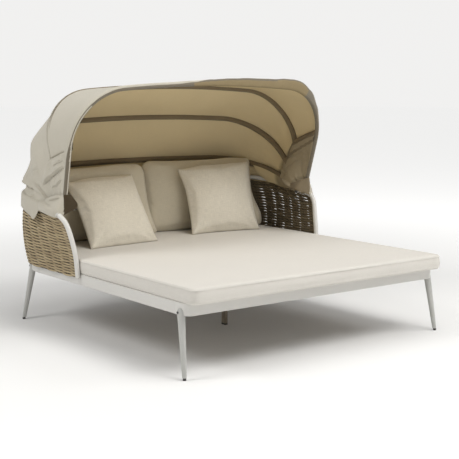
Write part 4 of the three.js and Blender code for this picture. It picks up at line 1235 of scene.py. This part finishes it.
def hemFolds(share, across):
    # the raised hem is gathered: slanting folds that end at its edge
    along = share * binding["foldPitch"] + across * binding["foldSlant"]
    fold = binding["fold"] * noise.noise(Vector((along, 0, binding["foldSeed"])))
    fold *= ease(*binding["foldRaised"], hemRise(share))
    return fold * ease(*binding["foldStart"], across) * ease(*binding["foldEnd"], across)


def frontBinding():
    angle = bow["angles"]["front"]
    width = outlineLength(binding["start"])

    def place(along, across):
        station = outlineAt(along, binding["start"])
        degrees = bindingTurn(across, along, station[1])
        turn = math.radians(degrees)
        low, high = binding["piping"]
        blend = binding["pipingBlend"]
        piped = binding["pipingProud"] * ease(low - blend, low + blend, degrees)
        piped *= ease(high + blend, high - blend, degrees)
        radius = binding["radius"] + binding["lap"] * ease(*binding["lapShares"], across) + piped
        uneven = noise.noise(Vector((along * binding["gatherPitch"], 0, binding["gatherSeed"])))
        gather = binding["gather"] * uneven + (1 - binding["gather"])
        raised = radius + (hemRise(along) * gather if math.cos(turn) > 0 else 0)
        return (overBow(station, angle, 0) + outWay(station, angle) * math.cos(turn) * raised
                + aheadWay(angle) * math.sin(turn) * (radius + hemFolds(along, across)))

    piece = gridPiece("canopy_front_binding", binding["columns"], binding["rows"], place,
                      (width, binding["width"]), bindingCloth, canopyCloth, hemLining)
    for polygon, along, across in sheetFaces(piece, (width, binding["width"])):
        station = outlineAt(along, binding["start"])
        polygon.material_index = bindingCover(along, station, bindingTurn(across, along, station[1]))
    thicken(piece, lining["thickness"], offset=0)
    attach(piece, "front_bow")


frontBinding()

# a felled seam outside, over the second bow
seam = {"start": 0.300, "width": 0.015, "proud": 0.0016, "clear": 0.0002, "edge": (1.0, 0.72),
        "columns": 300, "rows": 10, "thickness": 0.0010}


def felledSeam():
    angle = bow["angles"]["second"]

    def place(along, across):
        station = outlineAt(along, seam["start"])
        spread = 2 * across - 1
        turn = math.degrees(spread * seam["width"] / 2 / station[1])
        lift = seam["proud"] * ease(*seam["edge"], abs(spread))
        return overBow(station, angle + turn, canopy["rest"] + seam["clear"] + lift)

    width = outlineLength(seam["start"])
    piece = gridPiece("canopy_seam_second", seam["columns"], seam["rows"], place,
                      (width, seam["width"]), seamCloth)
    facing(piece)
    thicken(piece, seam["thickness"])
    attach(piece, "second_bow")


felledSeam()
print("sleeves sewn")

# the skirt behind the rear bow, over the hoop, with the hem that hangs outside
skirt = {
    "flat": (3.30, 0.30), "cut": 0.64, "front": 0.430, "columns": 420, "rows": 44, "thickness": 0.0016,
    "spanShare": 0.52, "turnedShare": 0.70, "standOff": 0.005, "flare": 0.004,
    "frontDrop": 0.020, "backDrop": 0.066, "tailRun": 0.16,
    "flapY": 0.545, "flapDrop": 0.090, "slitY": 0.490, "slitRun": 0.012,
    "pinch": -0.014, "pinchReach": (0.30, 0.45), "pinchSlope": (0.75, 0.45),
    "ripple": 0.006, "rippleScale": 6, "swellTurn": 8, "swellPower": 0.5,
    "foldSlope": (0.95, 0.55), "foldShares": (1.0, 0.85), "foot": -0.004, "footReach": (0.35, 0.15),
    "flutter": 0.007, "flutterScale": 7, "flutterSeed": 2.3, "kick": 0.010, "kickWidth": 0.035,
}


def hemDrop(y):
    beyond = ease(skirt["slitY"] - skirt["slitRun"], skirt["flapY"], y)
    tail = clamp((y - skirt["flapY"]) / skirt["tailRun"])
    return lerp(lerp(skirt["frontDrop"], skirt["flapDrop"], beyond), skirt["backDrop"], tail)


def skirtPlace(along, across):
    station = outlineAt(along, canopy["start"])
    place, out = aroundBack(along, hoop["halfWidth"], hoop["back"], hoop["corner"], skirt["front"])
    wrap = hoop["tube"] + skirt["standOff"]
    hoopTop = Vector((place.x, place.y, hoopHeight(place.y) + wrap))
    bowTop = overBow(station, bow["angles"]["rear"], canopy["rest"])
    side = ease(*canopy["sideSlope"], station[3])
    span, turned = skirt["spanShare"], skirt["turnedShare"]
    if across <= span:
        share = across / span
        point = bowTop.lerp(hoopTop, share)
        arch = math.sin(math.pi * share)
        hand = -1 if place.x < 0 else 1
        pinch = skirt["pinch"] * arch * ease(*skirt["pinchReach"], station[1])
        pinch *= ease(*skirt["pinchSlope"], station[3])
        ripple = skirt["ripple"] * arch * noise.noise(point * skirt["rippleScale"])
        angle = bow["angles"]["rear"] - skirt["swellTurn"] * share
        swell = swellHeight(angle, station[1], hand) * side
        fold = foldHeight(point, hand) * ease(*skirt["foldSlope"], station[3])
        fold *= ease(*skirt["foldShares"], share)
        low = skirt["foot"] * arch * side * ease(*skirt["footReach"], station[1])
        return point + out * (pinch + ripple + swell * (1 - share) ** skirt["swellPower"] + fold + low)
    if across <= turned:
        turn = (across - span) / (turned - span) * math.pi / 2
        return (Vector((place.x, place.y, hoopHeight(place.y))) + out * wrap * math.sin(turn)
                + Vector((0, 0, wrap * math.cos(turn))))
    hang = (across - turned) / (1 - turned)
    drop = hemDrop(place.y)
    scale = skirt["flutterScale"]
    uneven = noise.noise(Vector((place.x * scale, place.y * scale, skirt["flutterSeed"])))
    flutter = skirt["flutter"] * hang * uneven
    fromFlap = (place.y - skirt["flapY"]) / skirt["kickWidth"]
    kick = skirt["kick"] * hang * math.exp(-fromFlap ** 2)
    proud = wrap + skirt["flare"] * hang + flutter + kick
    return Vector((place.x, place.y, hoopHeight(place.y) - hang * drop)) + out * proud


skirtPiece = gridPiece("canopy_skirt_cloth", skirt["columns"], skirt["rows"], skirtPlace, skirt["flat"],
                       canopyCloth, canopyLining, spread=sideHeavy)
facing(skirtPiece)
thicken(skirtPiece, skirt["thickness"], inner=1)
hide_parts("canopy_skirt")
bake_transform(skirtPiece)

# inside, the side lining comes down over the hoop to its underside
fall = {
    "flat": (0.52, 0.10), "cut": 0.035, "columns": 90, "rows": 24,
    "from": 0.335, "to": 0.800, "reachFrom": 0.046, "reachTo": 0.520,
    "clear": 0.0165, "clearShares": (1.25, 0.9), "lift": (-0.013, 0.020), "liftShares": (0.80, 1.0),
    "slack": 0.006, "slackScales": (4, 6, 2), "arch": 0.004,
}


def liningFall(side, hand):
    angle = bow["angles"]["rear"]

    def onHoop(y):
        bend = hoop["back"] - hoop["corner"]
        if y <= bend:
            return Vector((hand * hoop["halfWidth"], y, hoopHeight(y))), Vector((hand, 0, 0))
        rise = (y - bend) / hoop["corner"]
        out = Vector((hand * math.sqrt(1 - rise * rise), rise, 0))
        centre = Vector((hand * (hoop["halfWidth"] - hoop["corner"]), bend, hoopHeight(y)))
        return centre + out * hoop["corner"], out

    def place(along, across):
        reach = lerp(fall["reachFrom"], fall["reachTo"], along)
        if reach < cornerReach:
            station = sideStation(hand, reach)
        else:
            turn = math.asin(clamp((reach - cornerReach) / cornerRadius))
            station = (hand * (cornerX + cornerRadius * math.cos(turn)), reach,
                       hand * math.cos(turn), math.sin(turn))
        top = overBow(station, angle, -lining["proud"] - footInset("rear", reach))
        ring, out = onHoop(lerp(fall["from"], fall["to"], along))
        lift = lerp(*fall["lift"], ease(*fall["liftShares"], along))
        low = ring - out * fall["clear"] * ease(*fall["clearShares"], along) + Vector((0, 0, lift))
        arch = math.sin(math.pi * across)
        slack = fall["slack"] * arch * unevenAt(fall["slackScales"], hand, along, across)
        return top.lerp(low, across) - out * (slack + fall["arch"] * arch)

    piece = gridPiece("side_lining_fall_" + side, fall["columns"], fall["rows"], place, fall["flat"],
                      canopyLining)
    thicken(piece, lining["thickness"], offset=0)
    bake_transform(piece)


for sideName, sideHand in (("left", -1), ("right", 1)):
    liningFall(sideName, sideHand)
print("skirt hung")

# a loose cloth cap over each hinge: outside, round the front and inside, by level from hem to top
cap = {
    "flat": (0.50, 0.11), "cut": 0.036, "columns": 72, "rows": 30, "thickness": 0.0014,
    "roundSteps": 12, "riseSteps": 16,
    "pucker": 0.0035, "puckerScales": (9, 2.2, 3.1), "outsideShares": (0.46, 0.36),
    "inward": (-0.6, -0.8, 0), "middle": (0.890, 0.36, 0.74), "outsideX": 0.912,
    "levels": [
        [(0.964, 0.484, 0.711), (0.964, 0.430, 0.702), (0.963, 0.365, 0.693), (0.958, 0.306, 0.685),
         (0.932, 0.281, 0.690), (0.876, 0.284, 0.712), (0.828, 0.298, 0.724), (0.836, 0.370, 0.730),
         (0.880, 0.440, 0.738)],
        [(0.965, 0.484, 0.722), (0.965, 0.430, 0.727), (0.963, 0.362, 0.722), (0.955, 0.300, 0.722),
         (0.924, 0.280, 0.724), (0.866, 0.281, 0.734), (0.815, 0.297, 0.740), (0.818, 0.360, 0.744),
         (0.860, 0.430, 0.748)],
        [(0.963, 0.483, 0.736), (0.956, 0.432, 0.752), (0.946, 0.362, 0.762), (0.934, 0.298, 0.768),
         (0.908, 0.276, 0.770), (0.864, 0.278, 0.770), (0.822, 0.297, 0.766), (0.822, 0.350, 0.762),
         (0.845, 0.415, 0.758)],
        [(0.957, 0.482, 0.752), (0.934, 0.436, 0.782), (0.921, 0.366, 0.802), (0.9155, 0.296, 0.812),
         (0.899, 0.2695, 0.812), (0.874, 0.2725, 0.810), (0.848, 0.300, 0.800), (0.832, 0.345, 0.782),
         (0.838, 0.405, 0.768)],
    ],
}


def capPlace(hand):
    rows = [catmullPoints([Vector(key) for key in level], cap["roundSteps"]) for level in cap["levels"]]

    def place(along, across):
        step = along * (len(rows[0]) - 1)
        index = min(int(step), len(rows[0]) - 2)
        column = [row[index].lerp(row[index + 1], step - index) for row in rows]
        line = catmullPoints(column, cap["riseSteps"])
        rise = across * (len(line) - 1)
        low = min(int(rise), len(line) - 2)
        point = line[low].lerp(line[low + 1], rise - low)
        uneven = cap["pucker"] * unevenAt(cap["puckerScales"], along, across, hand)
        outside = ease(*cap["outsideShares"], along)
        fold = foldHeight(point, hand) * outside
        out = Vector(cap["inward"]).normalized().lerp(Vector((1, 0, 0)), outside)
        point = point + out * (uneven + fold)
        return Vector((hand * point.x, point.y, point.z))

    return place


def hingeCap(side, hand):
    # the cap's inside is painted shade, darkest on the left
    inside = paintedShadeCloth if hand > 0 else paintedShadowCloth
    piece = gridPiece("hinge_cap_" + side, cap["columns"], cap["rows"], capPlace(hand), cap["flat"],
                      canopyCloth, inside)
    x, y, z = cap["middle"]
    facing(piece, (hand * x, y, z))
    for polygon in piece.data.polygons:
        polygon.material_index = int(abs(polygon.center.x) <= cap["outsideX"])
    thicken(piece, cap["thickness"])
    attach(piece, "bed")


for sideName, sideHand in (("left", -1), ("right", 1)):
    hingeCap(sideName, sideHand)
print("hinges covered")

# mattress: a boxed pad with a sewn edge all round its top and bottom. The points of a section say
# how far in from the side they lie, and how far from the underside or below the top.
pad = {
    "low": (-0.872, -0.918, 0.3743), "high": (0.872, 0.884, 0.4543),
    "frontCorner": 0.036, "rearCorner": 0.168, "cornerSteps": 16, "columns": 360, "pole": 0.985,
    "crown": 0.003, "crownReach": 0.82, "crownInsets": (0.08, 0.15, 0.25, 0.36, 0.48, 0.60, 0.72, 0.82),
    "lowSection": [(0.310, 0.0), (0.030, 0.0), (0.006, 0.0006), (0.003, 0.004), (0.0, 0.008),
                   (-0.00132, 0.0105), (0.001, 0.013)],
    "highSection": [(0.001, 0.013), (-0.00154, 0.0105), (0.0005, 0.008), (0.0028, 0.0042),
                    (0.0055, 0.0012), (0.010, 0.0), (0.040, -0.0006)],
    "beltEnds": (0.013, 0.014), "beltInset": 0.0015, "beltBow": 0.004,
    "beltShares": (0.15, 0.3, 0.45, 0.6, 0.75, 0.88),
    "sideUneven": 0.0018, "sideScales": (4, 4, 12), "sideBand": 0.012,
    "topUneven": 0.0016, "topScales": (3, 3, 0), "topLift": 0.0006, "topBand": 0.001,
}


def padOutline():
    # plan of the pad: tight corners in front, wide ones behind
    points = []
    corners = [(1, pad["high"][1], pad["rearCorner"], 0), (-1, pad["high"][1], pad["rearCorner"], 90),
               (-1, pad["low"][1], pad["frontCorner"], 180), (1, pad["low"][1], pad["frontCorner"], 270)]
    for hand, y, radius, start in corners:
        centre = Vector((hand * (pad["high"][0] - radius), y - math.copysign(radius, y), 0))
        steps = pad["cornerSteps"]
        for step in range(steps + 1):
            turn = math.radians(start + 90 * step / steps)
            points.append(centre + Vector((math.cos(turn), math.sin(turn), 0)) * radius)
    return points


def evenly(points, count):
    # the same closed line with evenly spaced points
    closed = [*points, points[0]]
    runs = [0.0]
    for a, b in zip(closed, closed[1:]):
        runs.append(runs[-1] + (b - a).length)
    spaced = []
    index = 0
    for step in range(count):
        target = runs[-1] * step / count
        while runs[index + 1] < target:
            index += 1
        span = max(runs[index + 1] - runs[index], 1e-9)
        spaced.append(closed[index].lerp(closed[index + 1], (target - runs[index]) / span))
    return spaced


def makeMattress():
    line = evenly(padOutline(), pad["columns"])
    middle = Vector((0, (pad["low"][1] + pad["high"][1]) / 2, 0))
    low, high = pad["low"][2], pad["high"][2]
    # the whole section, from the middle of the underside round the side to the middle of the top
    section = [(inset, low + rise) for inset, rise in pad["lowSection"]]
    beltLow, beltHigh = pad["beltEnds"]
    for share in pad["beltShares"]:
        bowed = pad["beltInset"] - pad["beltBow"] * math.sin(math.pi * share)
        section.append((bowed, lerp(low + beltLow, high - beltHigh, share)))
    section += [(inset, high - drop) for inset, drop in pad["highSection"]]
    for inset in pad["crownInsets"]:
        section.append((inset, high + pad["crown"] * (1 - (1 - inset / pad["crownReach"]) ** 2)))
    bm = bmesh.new()
    rings = []
    for inset, height in section:
        ring = []
        for point in line:
            inward = middle - point
            reach = inward.length
            place = point + inward * min(inset / reach, pad["pole"])
            ring.append(bm.verts.new(place + Vector((0, 0, height))))
        rings.append(ring)
    for lower, upper in zip(rings, rings[1:]):
        edges = [bm.edges.get((a, b)) or bm.edges.new((a, b))
                 for ring in (lower, upper) for a, b in zip(ring, ring[1:] + ring[:1])]
        bmesh.ops.bridge_loops(bm, edges=edges)
    for ring in (rings[0], rings[-1]):
        bmesh.ops.contextual_create(bm, geom=ring)
    bmesh.ops.triangulate(bm, faces=[face for face in bm.faces if len(face.verts) > 4])
    bmesh.ops.recalc_face_normals(bm, faces=bm.faces)
    for vert in bm.verts:
        x, y, z = vert.co
        if high - pad["sideBand"] > z > low + pad["sideBand"]:
            out = Vector((x, y, 0)).normalized()
            vert.co += out * pad["sideUneven"] * unevenAt(pad["sideScales"], x, y, z)
        if z > high - pad["topBand"]:
            vert.co.z += pad["topUneven"] * unevenAt(pad["topScales"], x, y, z) + pad["topLift"]
    for face in bm.faces:
        face.smooth = True
    boxUv(bm)
    piece = finishMesh("mattress_pad", bm, seatCloth)
    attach(piece, "bed")
    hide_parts("mattress")


makeMattress()
print("mattress sewn")

# loose cushions. Each pull moves the cover near one place of its face by so much, and each tuck
# draws it in along a line, to a width and a depth.
cushions = {
    "back_cushion_left": {
        "size": (0.824, 0.450, 0.140), "place": (-0.372, 0.799), "lean": 11, "turn": 4, "crown": 0.42,
        "round": {(1, 1): 0.075, (-1, 1): 0.050, (1, -1): 0.022, (-1, -1): 0.022},
        "pulls": [((1, 1), (0.5, 1.0), (-0.020, -0.012, 0)), ((1, -1), (0.25, 0.5), (0.012, -0.020, 0)),
                  ((0.5, 1), (0.35, 0.5), (0, 0, 0.010)), ((1, 0), (0.3, 1.0), (-0.018, -0.016, 0)),
                  ((0, 1), (1.6, 0.6), (0, 0, 0.007))],
        "finish": cushionCloth, "slot": "cushion_cloth", "seed": 3.1},
    "back_cushion_right": {
        "size": (0.824, 0.450, 0.140), "place": (0.424, 0.806), "lean": 11, "turn": -8, "crown": 0.42,
        "round": {(1, 1): 0.036, (-1, 1): 0.075, (1, -1): 0.022, (-1, -1): 0.022},
        "pulls": [((0, 1), (1.6, 0.6), (0, 0, 0.020)), ((0.62, 1), (0.25, 0.5), (0, 0, 0.009)),
                  ((-0.8, 1), (0.3, 0.5), (0, 0, 0.006)), ((1, -0.72), (0.22, 0.5), (0.040, -0.032, 0)),
                  ((-1, 0), (0.25, 1.2), (-0.014, 0.008, 0))],
        "finish": cushionCloth, "slot": "cushion_cloth", "seed": 7.4},
    "throw_pillow_left": {
        "size": (0.492, 0.478, 0.150), "place": (-0.380, 0.516), "lean": 34, "turn": 4, "crown": 0.74,
        "round": {},
        "pulls": [((-1, 1), (0.45, 0.45), (-0.014, -0.004, -0.024)),
                  ((0, -1), (2.0, 0.8), (-0.020, -0.036, 0)),
                  ((-1, -1), (0.35, 0.35), (-0.010, -0.014, -0.004)),
                  ((1, 1), (0.3, 0.3), (0.002, 0, -0.004))],
        "tucks": [((-1, -1), (-0.45, -0.62), 0.045, 0.010), ((1, -1), (0.40, -0.70), 0.05, 0.010),
                  ((1, -1), (0.62, -0.45), 0.04, 0.006), ((-1, 1), (-0.60, 0.62), 0.06, 0.008),
                  ((1, 1), (0.62, 0.60), 0.05, 0.004)],
        "finish": pillowCloth, "slot": "pillow_cloth", "seed": 11.9},
    "throw_pillow_right": {
        "size": (0.492, 0.478, 0.150), "place": (0.470, 0.592), "lean": 22, "turn": -8, "crown": 0.74,
        "round": {},
        "pulls": [((-1, 1), (0.5, 0.5), (-0.022, 0, -0.032)), ((1, 1), (0.4, 0.6), (0.022, 0, 0)),
                  ((-1, -1), (0.35, 0.35), (-0.024, -0.026, -0.004)),
                  ((1, -1), (0.35, 0.35), (0.008, -0.004, -0.004)),
                  ((0.1, 1), (0.35, 0.3), (0, 0, -0.006))],
        "tucks": [((-1, -1), (-0.55, -0.55), 0.045, 0.008), ((1, -1), (0.50, -0.72), 0.05, 0.008),
                  ((-1, 1), (-0.62, 0.55), 0.06, 0.008), ((1, 1), (0.62, 0.66), 0.05, 0.005)],
        "finish": pillowCloth, "slot": "pillow_cloth", "seed": 15.2},
}
filling = {
    "cell": 0.0095, "startShare": 0.80, "seam": 0.06, "drawnIn": 0.012, "uneven": 0.12, "unevenScale": 1.6,
    "cap": 0.013, "frames": 14, "pressure": 3.0, "quality": 6, "mass": 0.25,
    "stretch": 18, "shear": 6, "bending": 0.35, "tuckStart": (0.0, 0.35), "tuckEnd": (1.02, 0.45),
    "tuckLimit": 0.6, "stand": 0.004, "clear": 0.0035, "middleShare": 0.15, "sagShares": (-0.45, -0.95),
    "pressed": 0.05,
}


def roundedCorner(x, z, width, height, corners):
    # maps the square of a corner to a quarter round
    radius = corners.get((1 if x > 0 else -1, 1 if z > 0 else -1), 0)
    inX, inZ = abs(x) - width / 2 + radius, abs(z) - height / 2 + radius
    if radius == 0 or inX <= 0 or inZ <= 0:
        return x, z
    u, v = inX / radius, inZ / radius
    roundX = width / 2 - radius + radius * u * math.sqrt(max(1 - v * v / 2, 0))
    roundZ = height / 2 - radius + radius * v * math.sqrt(max(1 - u * u / 2, 0))
    return math.copysign(roundX, x), math.copysign(roundZ, z)


def pillowShell(width, height, thickness, seed, corners, fullness):
    # two squares sewn at their edges, lying in the XZ plane with the thickness along Y
    bm = bmesh.new()
    layer = bm.loops.layers.uv.new("weave")
    columns = round(width / filling["cell"])
    rows = round(height / filling["cell"])
    bmesh.ops.create_grid(bm, x_segments=columns, y_segments=rows, size=1)
    for face in bm.faces:
        for loop in face.loops:
            loop[layer].uv = (loop.vert.co.x * width / 2, loop.vert.co.y * height / 2)
    lower = list(bm.verts)
    made = bmesh.ops.extrude_face_region(bm, geom=bm.faces[:], use_keep_orig=True)
    upper = [item for item in made["geom"] if isinstance(item, bmesh.types.BMVert)]
    for verts, sign in ((lower, -1), (upper, 1)):
        for vert in verts:
            a, b = vert.co.x, vert.co.y
            crown = max((1 - a * a) * (1 - b * b), 0) ** fullness
            drawX = 1 - filling["drawnIn"] * (1 - b * b) * abs(a)
            drawY = 1 - filling["drawnIn"] * (1 - a * a) * abs(b)
            deep = filling["seam"] + (1 - filling["seam"]) * crown * filling["startShare"]
            uneven = noise.noise(Vector((a * filling["unevenScale"], b * filling["unevenScale"], seed)))
            swell = 1 + filling["uneven"] * uneven
            x, z = roundedCorner(a * drawX * width / 2, b * drawY * height / 2, width, height, corners)
            vert.co = Vector((x, sign * deep * swell * thickness / 2, z))
    bmesh.ops.recalc_face_normals(bm, faces=bm.faces)
    for face in bm.faces:
        face.smooth = True
    return bm


def inflate(piece):
    # fills the sewn cover with cloth pressure, then keeps only a limited swelling
    before = [vert.co.copy() for vert in piece.data.vertices]
    cloth = piece.modifiers.new("filling", "CLOTH")
    cloth.settings.quality = filling["quality"]
    cloth.settings.mass = filling["mass"]
    cloth.settings.tension_stiffness = filling["stretch"]
    cloth.settings.compression_stiffness = filling["stretch"]
    cloth.settings.shear_stiffness = filling["shear"]
    cloth.settings.bending_stiffness = filling["bending"]
    cloth.settings.use_pressure = True
    cloth.settings.uniform_pressure_force = filling["pressure"]
    cloth.settings.effector_weights.gravity = 0
    cloth.point_cache.frame_start = 1
    cloth.point_cache.frame_end = filling["frames"]
    for step in range(1, filling["frames"] + 1):
        scene.frame_set(step)
    swollen = piece.evaluated_get(bpy.context.evaluated_depsgraph_get()).to_mesh()
    after = [vert.co.copy() for vert in swollen.vertices]
    piece.evaluated_get(bpy.context.evaluated_depsgraph_get()).to_mesh_clear()
    piece.modifiers.remove(cloth)
    scene.frame_set(1)
    for vert, old, new in zip(piece.data.vertices, before, after):
        move = new - old
        if move.length > filling["cap"]:
            move *= filling["cap"] / move.length
        vert.co = old + move


def fitCushion(piece, size):
    # brings the filled cover back to its own size
    coordinates = [vert.co for vert in piece.data.vertices]
    for axis, wanted in enumerate((size[0], size[2], size[1])):
        low = min(point[axis] for point in coordinates)
        high = max(point[axis] for point in coordinates)
        scale = wanted / (high - low)
        centre = (low + high) / 2
        for vert in piece.data.vertices:
            vert.co[axis] = (vert.co[axis] - centre) * scale


def tuckDepth(tucks, a, b):
    # folds drawn in from the corners
    total = 0.0
    for (a0, b0), (a1, b1), wide, depth in tucks:
        run = Vector((a1 - a0, b1 - b0))
        place = clamp(((a - a0) * run.x + (b - b0) * run.y) / run.length_squared)
        far = math.hypot(a - a0 - run.x * place, b - b0 - run.y * place)
        drawn = depth * math.exp(-(far / wide) ** 2)
        total += drawn * ease(*filling["tuckStart"], place) * ease(*filling["tuckEnd"], place)
    return total


def makeCushion(name, values):
    width, height, thickness = values["size"]
    bm = pillowShell(width, height, thickness, values["seed"], values["round"], values["crown"])
    piece = finishMesh(name + "_cover", bm, values["finish"])
    inflate(piece)
    fitCushion(piece, values["size"])
    for vert in piece.data.vertices:
        if vert.co.y < 0:
            a, b = vert.co.x * 2 / width, vert.co.z * 2 / height
            drawn = tuckDepth(values.get("tucks", ()), a, b)
            vert.co.y += min(drawn, -vert.co.y * filling["tuckLimit"])
    lean = math.radians(values["lean"])
    rise = height / 2 * math.cos(lean) + filling["stand"]
    back = height / 2 * math.sin(lean)
    centre = Vector((values["place"][0], values["place"][1] + back, pad["high"][2] + rise))
    turned = (Matrix.Translation(centre) @ Matrix.Rotation(math.radians(values["turn"]), 4, "Z")
              @ Matrix.Rotation(-lean, 4, "X"))
    shares = [(vert.co.x * 2 / width, vert.co.z * 2 / height) for vert in piece.data.vertices]
    piece.data.transform(turned)
    for vert, (a, b) in zip(piece.data.vertices, shares):
        for (atA, atB), (wideA, wideB), move in values["pulls"]:
            weight = math.exp(-((a - atA) / wideA) ** 2 - ((b - atB) / wideB) ** 2)
            vert.co += Vector(move) * weight
    # the bottom seam's middle sinks onto the mattress, and what would go below it lies flat
    floor = pad["high"][2] + filling["clear"]
    middle = [vert.co.z for vert, (a, b) in zip(piece.data.vertices, shares)
              if abs(a) < filling["middleShare"]]
    lift = max(min(middle) - floor, 0)
    for vert, (a, b) in zip(piece.data.vertices, shares):
        vert.co.z -= lift * max(1 - a * a, 0) * ease(*filling["sagShares"], b)
    for vert in piece.data.vertices:
        if vert.co.z < floor:
            vert.co.z = floor + (vert.co.z - floor) * filling["pressed"]
    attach(piece, "bed")
    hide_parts(name)
    print("cushion filled:", name)


for cushionName, cushionValues in cushions.items():
    makeCushion(cushionName, cushionValues)
